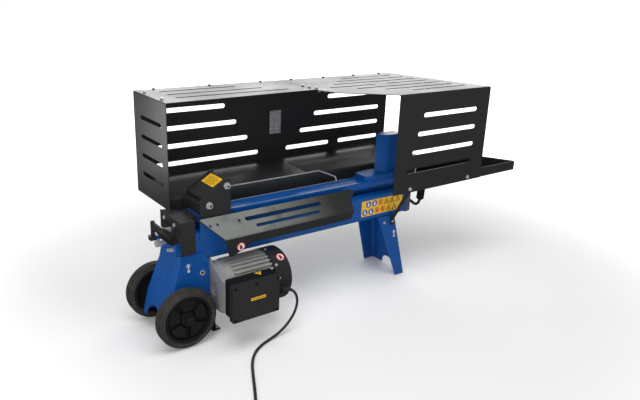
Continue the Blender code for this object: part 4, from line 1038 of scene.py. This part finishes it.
class LOGSPLITTER_OT_frame(bpy.types.Operator):
    """Paints the beam, rail, wedge, leg and bracket, with their welds, bolts and signs"""
    bl_idname = "logsplitter.frame"
    bl_label = "Frame and wedge"

    def execute(self, context):
        edge = context.scene.logsplitter_parts.edge
        for node, width in (("beam_box", 0.004), ("splitting_wedge", 1.5 * edge),
                            ("wheel_bracket", edge), ("rear_leg", edge), ("tray_strut", edge)):
            skin(node, width=width)
        skin("beam_end_cap", "grey_plastic", edge)
        # the rail's end is painted black, partly as painted shadow of the pusher
        rail_end = AXLE.x + RAIL_BLACK_SHADOW_END
        skin("guide_rail", width=2.5 * edge, other="black_paint", cut=rail_end,
             chosen=lambda middle, normal: middle.x < rail_end)
        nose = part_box("hydraulic_block")[0].x + NOSE_DEPTH
        skin("hydraulic_block", width=edge, other="black_paint", cut=nose,
             chosen=lambda middle, normal: middle.x < nose)
        for node in ("lift_handle_bar", "lift_handle_grip"):
            skin(node, width=edge, smooth=50.0)
        self.ribs()
        self.pictograms()
        self.rail_wear()
        self.end_cap_skirt()
        self.weld_beads()
        self.bolts()
        return {"FINISHED"}

    def end_cap_skirt(self):
        """Grey plastic skirt of the end cap round the beam's end."""
        low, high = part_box("beam_box")
        bm = bmesh.new()
        lift, depth = 0.0009, 0.016
        loops = []
        for x, grow in ((high.x - depth, lift), (high.x, lift), (high.x, -0.0005),
                        (high.x - depth, -0.0005)):
            loops.append([bm.verts.new((x, y, z)) for y, z in (
                (low.y - grow, low.z - grow), (high.y + grow, low.z - grow),
                (high.y + grow, high.z + grow), (low.y - grow, high.z + grow))])
        bridge(bm, loops + loops[:1])
        bmesh.ops.recalc_face_normals(bm, faces=bm.faces)
        piece("beam_cap_skirt", bm, ["grey_plastic"], "frame", 32.0, 0.0003)

    def weld_beads(self):
        """Rippled weld along both long sides of the wedge's base."""
        wedge_low, wedge_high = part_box("splitting_wedge")
        rail_low, rail_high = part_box("guide_rail")
        pitch = 0.0042
        count = int((rail_high.x - wedge_low.x - 0.006) / pitch)
        for label, y in (("front", max(wedge_low.y, rail_low.y) + 0.0012),
                         ("rear", min(wedge_high.y, rail_high.y) - 0.0012)):
            bm = bmesh.new()
            bmesh.ops.create_icosphere(bm, subdivisions=2, radius=1.0, matrix=Matrix.LocRotScale(
                Vector((wedge_low.x + 0.004, y, rail_high.z + 0.0002)), None,
                Vector((0.0036, 0.0034, 0.0030))))
            repeated(f"wedge_weld_{label}", bm, count, "frame", "blue_paint",
                     step=(pitch, 0, 0))

    def bolts(self):
        """Bolts of the leg and the ringed hole and plain hole in the bracket's cheek; the holes are
        near-black discs of painted shade.
        """
        fasteners("leg_bolts", [(at(0.690, -0.0526, 0.180), (0, -1, -0.12)),
                                (at(0.722, -0.0559, 0.180), (0, -1, -0.12)),
                                (at(0.690, 0.0526, 0.180), (0, 1, -0.12)),
                                (at(0.722, 0.0526, 0.180), (0, 1, -0.12))],
                  "frame", "zinc", 20, 0.0052, 0.0026, 0.0066)
        bm = bmesh.new()
        washer, hole = at(0.0650, -0.0571, 0.170), at(0.0155, -0.0612, 0.139)
        ring(bm, washer, X_AXIS, CHEEK_UP, 0, 0, 0.0068, 0.0038, 0, -0.0004, 0.0012)
        add_prism(bm, disc_outline(0, 0, 0.0040), washer, X_AXIS, CHEEK_UP, -0.0004, 0.0005, 1)
        add_prism(bm, disc_outline(0, 0, 0.0038), hole, X_AXIS, CHEEK_UP, -0.0004, 0.0003, 1)
        bmesh.ops.recalc_face_normals(bm, faces=bm.faces)
        piece("bracket_cheek_hardware", bm, ["zinc", "recess"], "frame")

    def ribs(self):
        """Three pressed ribs in the sloped web of the wheel bracket."""
        bm = bmesh.new()
        foot, head = Vector((-0.0335, 0, 0.112)), Vector((-0.0062, 0, 0.190))
        outward = Vector((-(head.z - foot.z), 0, head.x - foot.x)).normalized()
        for side in (-1, 0, 1):
            a = foot + Vector((0, side * 0.030, 0))
            b = head + Vector((0, side * 0.019, 0))
            across = outward.cross((b - a).normalized())
            rows = []
            steps = 14
            for i in range(steps + 1):
                t = i / steps
                swell = math.sin(math.pi * t) ** 0.35 if 0 < t < 1 else 0.0
                middle = AXLE + a.lerp(b, t)
                row = []
                for k in range(7):
                    angle = math.pi * k / 6
                    row.append(bm.verts.new(middle + across * math.cos(angle) * 0.0042 * swell
                                            + outward * (0.0012 + 0.0022 * math.sin(angle) * swell)))
                rows.append(row)
            for first, second in zip(rows, rows[1:]):
                for k in range(6):
                    bm.faces.new((first[k], first[k + 1], second[k + 1], second[k]))
                bm.faces.new((first[6], first[0], second[0], second[6]))
        bmesh.ops.remove_doubles(bm, verts=bm.verts, dist=1e-6)
        bmesh.ops.recalc_face_normals(bm, faces=bm.faces)
        piece("bracket_ribs", bm, ["blue_paint"], BODY_OF["wheel_bracket"], 60.0)

    def pictograms(self):
        """White wheel and arrow signs on the bracket and on the leg."""
        bm = bmesh.new()
        right = X_AXIS
        for middle, up in ((at(0.028, -0.0552, 0.190), CHEEK_UP),
                           (at(0.7299, -0.0605, 0.1389), LEG_UP)):
            ring(bm, middle, right, up, 0.0, 0.006, 0.0052, 0.0040)
            for k in range(4):
                angle = math.pi / 4 * k
                line = stroke((-0.0034 * math.cos(angle), 0.006 - 0.0034 * math.sin(angle)),
                              (0.0034 * math.cos(angle), 0.006 + 0.0034 * math.sin(angle)), 0.0007)
                add_prism(bm, line, middle, right, up, 0.0, 0.0002)
            add_prism(bm, stroke((0.0, 0.0008), (0.0, -0.004), 0.0016), middle, right, up, 0.0,
                      0.0002)
            ring(bm, middle, right, up, 0.0, -0.0072, 0.0036, 0.0016)
        piece("transport_signs", bm, ["print_white"], "frame")

    def rail_wear(self):
        """Bare bright strip that the pusher's shoes leave on the rail's top."""
        low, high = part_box("guide_rail")
        bm = bmesh.new()
        for y in (low.y + 0.0065, high.y - 0.0065):
            add_prism(bm, box_outline(low.x + 0.12, -0.0022, high.x - 0.20, 0.0022),
                      Vector((0, y, high.z)), X_AXIS, Y_AXIS, -0.0004,
                      0.00006)
        piece("rail_wear_lines", bm, ["steel"], "frame")


def stroke(a, b, width):
    """Outline of a thin bar between two points of a label."""
    a, b = Vector(a), Vector(b)
    along = (b - a).normalized()
    side = Vector((-along.y, along.x)) * (width / 2)
    return [tuple(a - side), tuple(b - side), tuple(b + side), tuple(a + side)]


def ring(bm, middle, u_axis, v_axis, u, v, outer, inner, index=0, low=0.0, high=0.0002, steps=32):
    """A flat ring on a label."""
    normal = u_axis.cross(v_axis).normalized()
    loops = []
    for radius, lift in ((outer, low), (outer, high), (inner, high), (inner, low)):
        loops.append([bm.verts.new(middle + u_axis * (u + radius * math.cos(a))
                                   + v_axis * (v + radius * math.sin(a)) + normal * lift)
                      for a in (2 * math.pi * i / steps for i in range(steps))])
    bridge(bm, loops + loops[:1], index)


class LOGSPLITTER_OT_cage(bpy.types.Operator):
    """Coats the guard cage, the tray and the lever guard, and bolts them up"""
    bl_idname = "logsplitter.cage"
    bl_label = "Guard cage"

    def execute(self, context):
        parts = context.scene.logsplitter_parts
        for node in ("back_panel_left", "back_panel_right", "end_panel", "roof_left",
                     "roof_and_front_right", "log_tray"):
            skin(node, width=parts.edge)
        for node in ("lever_guard", "cage_joint_plate"):
            skin(node, width=parts.edge)
        skin("stroke_limiter_rod", smooth=60.0)
        plate_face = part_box("cage_joint_plate")[0].y - AXLE.y
        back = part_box("back_panel_right")[1].y - AXLE.y
        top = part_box("roof_left")[1].z
        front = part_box("roof_and_front_right")[0].y - AXLE.y
        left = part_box("lever_guard")[0].x - AXLE.x
        spots = [(x, z) for x in (0.450, 0.473) for z in (0.446, 0.484)]
        joint = [(at(x, plate_face, z), (0, -1, 0)) for x, z in spots]
        rear = [(at(x, back, z), (0, 1, 0)) for x, z in spots]
        roof = [(at(0.032, 0.183, top), (0, 0, 1)), (at(0.031, 0.075, top), (0, 0, 1)),
                (at(0.479, 0.108, top), (0, 0, 1)), (at(0.484, 0.082, top), (0, 0, 1)),
                (at(0.492, 0.058, top), (0, 0, 1))]
        side = [(at(0.712, front, 0.308), (0, -1, 0)), (at(0.967, front, 0.308), (0, -1, 0))]
        guard = [(at(left, 0.028, 0.304), (-1, 0, 0)), (at(left, -0.029, 0.302), (-1, 0, 0))]
        ridge = [(at(x, back - 0.004, top), (0, 0, 1)) for x in (0.074, 0.240, 0.408, 0.518, 0.642,
                                                                 0.766, 0.878)]
        fasteners("roof_rivets", ridge, "frame", "black_paint", 20, 0.0034, 0.0018, 0.0040)
        under = [(at(x, 0.060 - 0.6 * (x - 0.470), top - 0.0022), (0, 0, -1))
                 for x in (0.494, 0.508)]
        fasteners("roof_nuts", under, "frame", "zinc", 6, 0.0040, 0.0050, 0.0050)
        fasteners("cage_bolts", joint + roof + side + rear, "frame", "zinc", 6,
                  parts.bolt_across / math.sqrt(3), parts.bolt_height, parts.washer / 2)
        fasteners("guard_bolts", guard, "frame", "zinc", 24, 0.0045, 0.0022, 0.0048)
        return {"FINISHED"}


class LOGSPLITTER_OT_chute(bpy.types.Operator):
    """Gives the front chute its rubbed upper side, darkened towards +X by painted shade, and paints
    its flange blue
    """
    bl_idname = "logsplitter.chute"
    bl_label = "Chute"

    def execute(self, context):
        beam_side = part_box("beam_box")[0].y - 0.006
        skin("front_trough", width=context.scene.logsplitter_parts.edge, other="blue_paint",
             chosen=lambda middle, normal: middle.y > beam_side and abs(normal.y) > 0.9)
        return {"FINISHED"}


# ------------------------------------------------------------------ pusher and controls

class LOGSPLITTER_OT_pusher(bpy.types.Operator):
    """Finishes the pusher, its plates, bolts and shoes"""
    bl_idname = "logsplitter.pusher"
    bl_label = "Pusher"

    def execute(self, context):
        edge = context.scene.logsplitter_parts.edge
        for node in ("pusher_body", "pusher_side_plate_front", "pusher_side_plate_rear"):
            skin(node, width=edge)
        for node in ("pusher_shoe_front", "pusher_shoe_rear"):
            skin(node, "black_paint", width=edge)
        for node in ("pusher_bolt_upper", "pusher_bolt_lower"):
            skin(node, width=0.0004, smooth=40.0)
            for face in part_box(node)[0].y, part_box(node)[1].y:
                middle = centre_of(node)
                way = -1 if face < middle.y else 1
                self.socket(node, Vector((middle.x, face, middle.z)), way)
        self.label()
        return {"FINISHED"}

    def socket(self, node, middle, way):
        bm = bmesh.new()
        u_axis = X_AXIS * (-way)
        # a near-black hexagon of painted shade stands for the bolt head's socket
        add_prism(bm, disc_outline(0, 0, 0.0032, 6), middle, u_axis, Z_AXIS,
                  -0.0010, 0.00015)
        end = "front" if way < 0 else "rear"
        piece(f"{node}_socket_{end}", bm, ["recess"], "pusher")

    def label(self):
        """Yellow label with black print lines on the pusher's sloped top."""
        bm = bmesh.new()
        slope, across = Vector((0.862, 0, 0.507)), Y_AXIS
        middle = at(0.1265, 0.002, 0.39055)
        add_prism(bm, box_outline(-0.0165, -0.031, 0.0165, 0.031, 0.001), middle, slope, across,
                  0.0, FILM, 0)
        for k in range(7):
            width = 0.025 if k % 3 else 0.018
            add_prism(bm, box_outline(-0.013 + 0.0038 * k, -width, -0.0118 + 0.0038 * k, width),
                      middle, slope, across, FILM, 0.00032, 1)
        piece("pusher_label", bm, ["yellow", "print_black"], "pusher")


class LOGSPLITTER_OT_controls(bpy.types.Operator):
    """Finishes the lever, its knob, the pressure screw and the valve's bolts"""
    bl_idname = "logsplitter.controls"
    bl_label = "Controls"

    def execute(self, context):
        skin("control_lever", "black_paint", width=0.0008)
        skin("lever_knob", "black_plastic", width=0.0012, smooth=50.0)
        skin("pressure_screw", width=0.0006)
        skin("valve_spool", width=0.0004, smooth=50.0)
        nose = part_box("lever_guard")[0].x - AXLE.x - 0.007
        fasteners("valve_bolts", [(at(nose, -0.011, 0.231), (-1, 0, 0)),
                                  (at(nose, -0.031, 0.238), (-1, 0, 0))],
                  "frame", "zinc", 24, 0.0046, 0.0050, 0.0052)
        return {"FINISHED"}


# ------------------------------------------------------------------ motor

class LOGSPLITTER_OT_motor(bpy.types.Operator):
    """Finishes the motor's bell, fins and fan cover, and its terminal box"""
    bl_idname = "logsplitter.motor"
    bl_label = "Motor"

    def execute(self, context):
        parts = context.scene.logsplitter_parts
        skin("motor_end_bell", width=0.0012, smooth=40.0)
        skin("motor_housing", width=0.0004)
        skin("fan_cover", "black_paint", width=0.0015, smooth=40.0)
        skin("terminal_box", "black_plastic", width=0.0025, segments=3)
        skin("terminal_box_lid", "lid_plastic_painted_light", width=0.0018, segments=3)
        skin("cable_gland", "black_plastic", width=0.0006, smooth=40.0)
        self.air_slots(parts.fan_slots)
        self.screws()
        self.labels()
        self.stop_signs()
        self.foot()
        return {"FINISHED"}

    def air_slots(self, count):
        """Rings of air slots in the end of the fan cover, drawn as near-black prisms of painted
        shade.
        """
        low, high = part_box("fan_cover")
        middle = Vector((high.x, (low.y + high.y) / 2, (low.z + high.z) / 2))
        for ring_name, inner, outer in (("inner", 0.016, 0.030), ("outer", 0.036, 0.054)):
            bm = bmesh.new()
            add_prism(bm, box_outline(-0.0018, inner, 0.0018, outer, 0.0017), middle,
                      Y_AXIS, Z_AXIS, -0.0006, 0.00012)
            repeated(f"fan_air_slots_{ring_name}", bm, count, "frame", "recess",
                     turn=(2 * math.pi / count, 0, 0), pivot=tuple(middle))

    def screws(self):
        """Screws round the fan cover's rim, and the sunk screws of the terminal box lid as near-black
        painted shade.
        """
        low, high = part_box("fan_cover")
        middle = Vector((0, (low.y + high.y) / 2, (low.z + high.z) / 2))
        radius = (high.z - low.z) / 2
        places = []
        for angle in (138, 166, 42, -42, -138, 90):
            way = Vector((0, math.cos(math.radians(angle)), math.sin(math.radians(angle))))
            places.append((Vector((low.x + 0.0085, 0, 0)) + middle + way * (radius - 0.0008), way))
        fasteners("fan_cover_screws", places, "frame", "zinc", 20, 0.0036, 0.0022, 0.0042, 0.0006)
        low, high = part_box("terminal_box_lid")
        y = low.y
        spots = [(low.x + 0.007, high.z - 0.0055), ((low.x + high.x) / 2 - 0.002, high.z - 0.0055),
                 (high.x - 0.007, high.z - 0.0055), (low.x + 0.007, low.z + 0.0055),
                 (high.x - 0.007, low.z + 0.0055)]
        # the lid's sunk screws are near-black rings of painted shade
        bm = bmesh.new()
        for x, z in spots:
            lathe(bm, [(0.0, 0.00012), (0.0026, 0.00012), (0.0032, 0.0005), (0.0038, 0.0002),
                       (0.0038, -0.0006), (0.0, -0.0006)], Vector((x, y, z)), (0, -1, 0), 24)
        piece("lid_screw_hole_shade", bm, ["recess"], "frame", 40.0)

    def labels(self):
        """The lid's strip and the box's triangle."""
        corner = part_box("terminal_box_lid")[0]
        middle = corner + Vector((0.0705, 0.0, 0.0530))
        bm = bmesh.new()
        right, up = X_AXIS, Z_AXIS
        add_prism(bm, box_outline(-0.0215, -0.0036, 0.0215, 0.0036, 0.001), middle, right, up, 0.0,
                  FILM, 0)
        for k in range(9):
            u = -0.0190 + 0.0043 * k
            add_prism(bm, box_outline(u, -0.0012, u + 0.0034, 0.0012), middle, right, up, FILM,
                      0.0003, 1)
        box_low, box_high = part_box("terminal_box")
        top = Vector(((box_low.x + box_high.x) / 2 + 0.0235, box_low.y + 0.0155, box_high.z))
        triangle = [(-0.0105, 0.0085), (0.0, -0.0085), (0.0105, 0.0085)]
        add_prism(bm, list(reversed(triangle)), top, right, Y_AXIS, 0.0, 0.0003, 0)
        bolt = [(-0.0012, 0.0055), (0.0014, 0.0055), (0.0003, 0.0012), (0.0018, 0.0012),
                (-0.0008, -0.0045), (0.0, -0.0004), (-0.0016, -0.0004)]
        add_prism(bm, list(reversed(bolt)), top, right, Y_AXIS, 0.0003, PRINT, 1)
        bmesh.ops.recalc_face_normals(bm, faces=bm.faces)
        piece("motor_box_labels", bm, ["yellow", "print_black"], "frame")

    def stop_signs(self):
        """One flat stop-hand sign just in front of the chute and one bent round the fan cover."""
        bm = bmesh.new()
        low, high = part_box("fan_cover")
        axis_y, axis_z = (low.y + high.y) / 2, (low.z + high.z) / 2
        radius = (high.z - low.z) / 2
        stop_sign(bm, at(0.1505, -0.1041, 0.2395), X_AXIS, Z_AXIS, 0.0120)
        curved_sign(bm, at(0.2630, 0, 0).x, axis_y, axis_z, radius, math.radians(123), 0.0120)
        bmesh.ops.recalc_face_normals(bm, faces=bm.faces)
        piece("stop_hand_signs", bm, ["print_white", "print_red", "print_black"], "frame")

    def foot(self):
        """Small black stop under the motor's flange."""
        bm = bmesh.new()
        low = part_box("motor_end_bell")[0]
        outline = [(0.0, 0.0), (0.022, 0.0), (0.022, 0.004), (0.009, 0.006), (0.007, 0.030),
                   (0.007, low.z + 0.006), (0.002, low.z + 0.006), (0.001, 0.030)]
        add_prism(bm, outline, Vector((low.x - 0.0015, centre_of("motor_housing").y + 0.016, 0.001)),
                  X_AXIS, Z_AXIS, -0.012, 0.012)
        bmesh.ops.recalc_face_normals(bm, faces=bm.faces)
        piece("motor_stop", bm, ["black_plastic"], "frame", 32.0, 0.0006)


def hand(scale):
    """Outline of a plain raised hand."""
    points = [(-0.30, -0.62), (0.22, -0.62), (0.30, -0.30), (0.42, 0.06), (0.34, 0.10),
              (0.24, -0.10), (0.24, 0.42), (0.14, 0.46), (0.10, 0.10), (0.06, 0.58),
              (-0.06, 0.58), (-0.08, 0.12), (-0.12, 0.48), (-0.22, 0.46), (-0.24, 0.05),
              (-0.34, 0.24), (-0.42, 0.20), (-0.36, -0.20)]
    return [(u * scale, v * scale) for u, v in points]


def stop_sign(bm, middle, right, up, radius):
    add_prism(bm, disc_outline(0, 0, radius), middle, right, up, 0.0, 0.0002, 0)
    ring(bm, middle, right, up, 0, 0, radius, radius * 0.80, 1, 0.0002, 0.00035)
    add_prism(bm, hand(radius * 0.9), middle, right, up, 0.0002, 0.00028, 2)
    add_prism(bm, stroke((-radius * 0.56, radius * 0.56), (radius * 0.56, -radius * 0.56),
                         radius * 0.16), middle, right, up, 0.00028, 0.00036, 1)


def curved_sign(bm, x, axis_y, axis_z, radius, angle, size):
    """A stop sign bent round the fan cover."""
    flat = bmesh.new()
    stop_sign(flat, Vector((0, 0, 0)), X_AXIS, Y_AXIS, size)
    bmesh.ops.triangulate(flat, faces=flat.faces)
    bmesh.ops.subdivide_edges(flat, edges=[e for e in flat.edges if e.calc_length() > 0.002],
                              cuts=2, use_grid_fill=True)
    flat.verts.index_update()
    made = {}
    for vert in flat.verts:
        bend = angle - vert.co.y / radius
        reach = radius + vert.co.z + 0.00015
        made[vert.index] = bm.verts.new((x + vert.co.x, axis_y + math.cos(bend) * reach,
                                         axis_z + math.sin(bend) * reach))
    for face in flat.faces:
        new = bm.faces.new([made[v.index] for v in face.verts])
        new.material_index = face.material_index
    flat.free()


# ------------------------------------------------------------------ wheels

class LOGSPLITTER_OT_wheels(bpy.types.Operator):
    """Makes the tyres and the moulded hubs with their pads and caps"""
    bl_idname = "logsplitter.wheels"
    bl_label = "Wheels"

    def execute(self, context):
        pads = context.scene.logsplitter_parts.hub_pads
        for label, way in (("front", -1), ("rear", 1)):
            self.tyre(label)
            self.hub(label, way, pads)
            skin("axle_cap_" + label, "hub_plastic", width=0.0008, smooth=40.0)
        skin("axle", width=0.0004, smooth=50.0)
        return {"FINISHED"}

    def tyre(self, label):
        node = "tyre_" + label
        low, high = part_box(node)
        middle = (low + high) / 2
        outer, half = (high.x - low.x) / 2, (high.y - low.y) / 2
        rim = (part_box("wheel_hub_" + label)[1].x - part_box("wheel_hub_" + label)[0].x) / 2 + 0.0002
        crown = outer - 0.0016
        profile = [(rim, -half + 0.004), (rim + 0.002, -half + 0.0015), (rim + 0.005, -half),
                   (outer - 0.010, -half), (outer - 0.0068, -half + 0.0008),
                   (outer - 0.0062, -half + 0.0020), (outer - 0.0045, -half + 0.0024),
                   (crown - 0.0004, -half + 0.0052), (crown, -half + 0.0075)]
        shoulder = len(profile)
        grooves = 4
        for k in range(grooves):
            y = -half + 0.0075 + (2 * half - 0.015) * (k + 0.5) / grooves
            profile += [(outer - 0.0004, y - 0.0028), (outer, y - 0.0020), (outer, y + 0.0020),
                        (outer - 0.0004, y + 0.0028), (outer - 0.0011, y + 0.0033)]
        profile += [(r, -y) for r, y in reversed(profile[:shoulder])]
        bm = bmesh.new()
        lathe(bm, profile, middle, (0, 1, 0), 96)
        obj = piece(node + "_rubber", bm, ["tyre"], BODY_OF[node], 34.0)
        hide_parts(node)

    def hub(self, label, way, pads):
        node = "wheel_hub_" + label
        low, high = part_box(node)
        middle = (low + high) / 2
        outer, half = (high.x - low.x) / 2, (high.y - low.y) / 2
        bm = bmesh.new()
        # rim with a rolled lip, dished web and boss, from the outer face to the inner one
        profile = [(outer, half), (outer - 0.0035, half), (outer - 0.0048, half - 0.0012),
                   (outer - 0.0065, 0.004), (0.020, 0.0025), (0.0175, half - 0.005),
                   (0.0160, half - 0.004), (0.0068, half - 0.004), (0.0068, -half + 0.004),
                   (0.0165, -half + 0.004), (0.019, -0.0035), (outer - 0.0065, -0.005),
                   (outer - 0.0048, -half + 0.0012), (outer - 0.0035, -half), (outer, -half)]
        lathe(bm, profile, middle, (0, way, 0), 80)
        obj = piece(node + "_moulding", bm, ["hub_plastic"], BODY_OF[node], 34.0)
        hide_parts(node)
        bm = bmesh.new()
        inner_r, outer_r = 0.0215, outer - 0.0085
        spread = math.pi / pads - 0.13
        outline = []
        for i in range(9):
            a = -spread + 2 * spread * i / 8
            outline.append((outer_r * math.sin(a), outer_r * math.cos(a)))
        for i in range(5):
            a = (spread * 0.80) * (1 - i / 2)
            outline.append((inner_r * math.sin(a), inner_r * math.cos(a)))
        face = middle + Y_AXIS * way * 0.003
        u_axis = Vector((-way, 0, 0))
        add_prism(bm, list(reversed(outline)), face, u_axis, Z_AXIS, -0.001,
                  half - 0.0095)
        bmesh.ops.recalc_face_normals(bm, faces=bm.faces)
        repeated(f"{node}_pads", bm, pads, BODY_OF[node], "hub_plastic",
                 turn=(0, 2 * math.pi / pads, 0), pivot=tuple(middle), width=0.0016)


# ------------------------------------------------------------------ labels

# material numbers of the beam label
GROUND, BLUE, BLACK, WHITE, RED = range(5)


def order_sign(bm, place, u, v, size):
    """Blue disc with a plain white figure."""
    add_prism(bm, disc_outline(u, v, size, 24), *place, FILM, PRINT, BLUE)
    add_prism(bm, disc_outline(u, v + 0.004, 0.0026, 12), *place, PRINT, FIGURE, WHITE)
    add_prism(bm, box_outline(u - 0.0036, v - 0.006, u + 0.0036, v + 0.001, 0.0012), *place,
              PRINT, FIGURE, WHITE)


def ban_sign(bm, place, u, v, size):
    """Red ring and bar over a plain black figure."""
    ring(bm, *place, u, v, size * 0.9, size * 0.68, RED, FILM, PRINT)
    reach = size * 0.55
    add_prism(bm, stroke((u - reach, v + reach), (u + reach, v - reach), 0.0018), *place, FILM,
              0.00045, RED)
    add_prism(bm, box_outline(u - 0.0022, v - 0.0045, u + 0.0022, v + 0.0045, 0.001), *place,
              FILM, 0.00035, BLACK)


def warning_sign(bm, place, u, v, size):
    """Black outlined triangle with a stroke in it."""
    triangle = [(u - size, v - size * 0.8), (u + size, v - size * 0.8), (u, v + size)]
    add_prism(bm, triangle, *place, FILM, PRINT, BLACK)
    inside = [(u - size * 0.66, v - size * 0.60), (u + size * 0.66, v - size * 0.60),
              (u, v + size * 0.60)]
    add_prism(bm, inside, *place, PRINT, 0.00048, GROUND)
    add_prism(bm, box_outline(u - 0.0009, v - 0.0040, u + 0.0009, v + 0.0026), *place, 0.00048,
              0.00056, BLACK)


class LOGSPLITTER_OT_labels(bpy.types.Operator):
    """Makes the yellow label of plain signs on the beam"""
    bl_idname = "logsplitter.labels"
    bl_label = "Beam label"

    def execute(self, context):
        middle = at(0.6805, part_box("beam_box")[0].y - AXLE.y, 0.239)
        place = (middle, X_AXIS, Z_AXIS)
        bm = bmesh.new()
        half = 0.0835
        add_prism(bm, box_outline(-half, -0.0245, half, 0.0245, 0.002), *place, 0.0, FILM, 0)
        size = 0.0100
        for v, start, rings in ((0.0120, 0.0270, (2,)), (-0.0120, 0.0138, (2, 3))):
            for column in range(6):
                u = start - half + 0.0240 * column
                if column < 2:
                    order_sign(bm, place, u, v, size)
                elif column in rings:
                    ban_sign(bm, place, u, v, size)
                else:
                    warning_sign(bm, place, u, v, size)
        bmesh.ops.recalc_face_normals(bm, faces=bm.faces)
        piece("beam_label", bm, ["yellow", "print_blue", "print_black", "print_white", "print_red"],
              "frame")
        return {"FINISHED"}


class LOGSPLITTER_OT_hidden(bpy.types.Operator):
    """Gives the inner nodes that stay as they are their metals and plastics"""
    bl_idname = "logsplitter.hidden"
    bl_label = "Inner parts"

    def execute(self, context):
        for name, obj in NODES.items():
            if not obj.hide_render:
                obj.data.materials.clear()
                obj.data.materials.append(MATERIALS[SLOT_OF[name]])
        return {"FINISHED"}


# ------------------------------------------------------------------ panel and main

OPERATORS = (LOGSPLITTER_OT_stage, LOGSPLITTER_OT_cord, LOGSPLITTER_OT_frame,
             LOGSPLITTER_OT_cage, LOGSPLITTER_OT_chute, LOGSPLITTER_OT_pusher,
             LOGSPLITTER_OT_controls, LOGSPLITTER_OT_motor, LOGSPLITTER_OT_wheels,
             LOGSPLITTER_OT_labels, LOGSPLITTER_OT_hidden)
GROUPS = (("logsplitter_paint", LogSplitterPaint), ("logsplitter_parts", LogSplitterParts),
          ("logsplitter_cord", LogSplitterCord), ("logsplitter_stage", LogSplitterStage))


class LOGSPLITTER_PT_panel(bpy.types.Panel):
    """Lists the finish operators in the order in which they run"""
    bl_label = "Log Splitter"
    bl_idname = "LOGSPLITTER_PT_panel"
    bl_space_type = "VIEW_3D"
    bl_region_type = "UI"
    bl_category = "Log Splitter"

    def draw(self, context):
        for name, group in GROUPS:
            settings = getattr(context.scene, name)
            column = self.layout.column(align=True)
            for field in group.__annotations__:
                column.prop(settings, field)
        for operator in OPERATORS:
            self.layout.operator(operator.bl_idname)


def register():
    for name, group in GROUPS:
        bpy.utils.register_class(group)
        setattr(bpy.types.Scene, name, PointerProperty(type=group))
    for item in (*OPERATORS, LOGSPLITTER_PT_panel):
        bpy.utils.register_class(item)


def unregister():
    for item in (LOGSPLITTER_PT_panel, *reversed(OPERATORS)):
        bpy.utils.unregister_class(item)
    for name, group in reversed(GROUPS):
        delattr(bpy.types.Scene, name)
        bpy.utils.unregister_class(group)


def main():
    register()
    make_materials(bpy.context.scene.logsplitter_paint)
    for operator in OPERATORS:
        group, name = operator.bl_idname.split(".")
        if getattr(getattr(bpy.ops, group), name)() != {"FINISHED"}:
            raise RuntimeError(f"{operator.bl_label} did not finish")


if __name__ == "__main__":
    main()
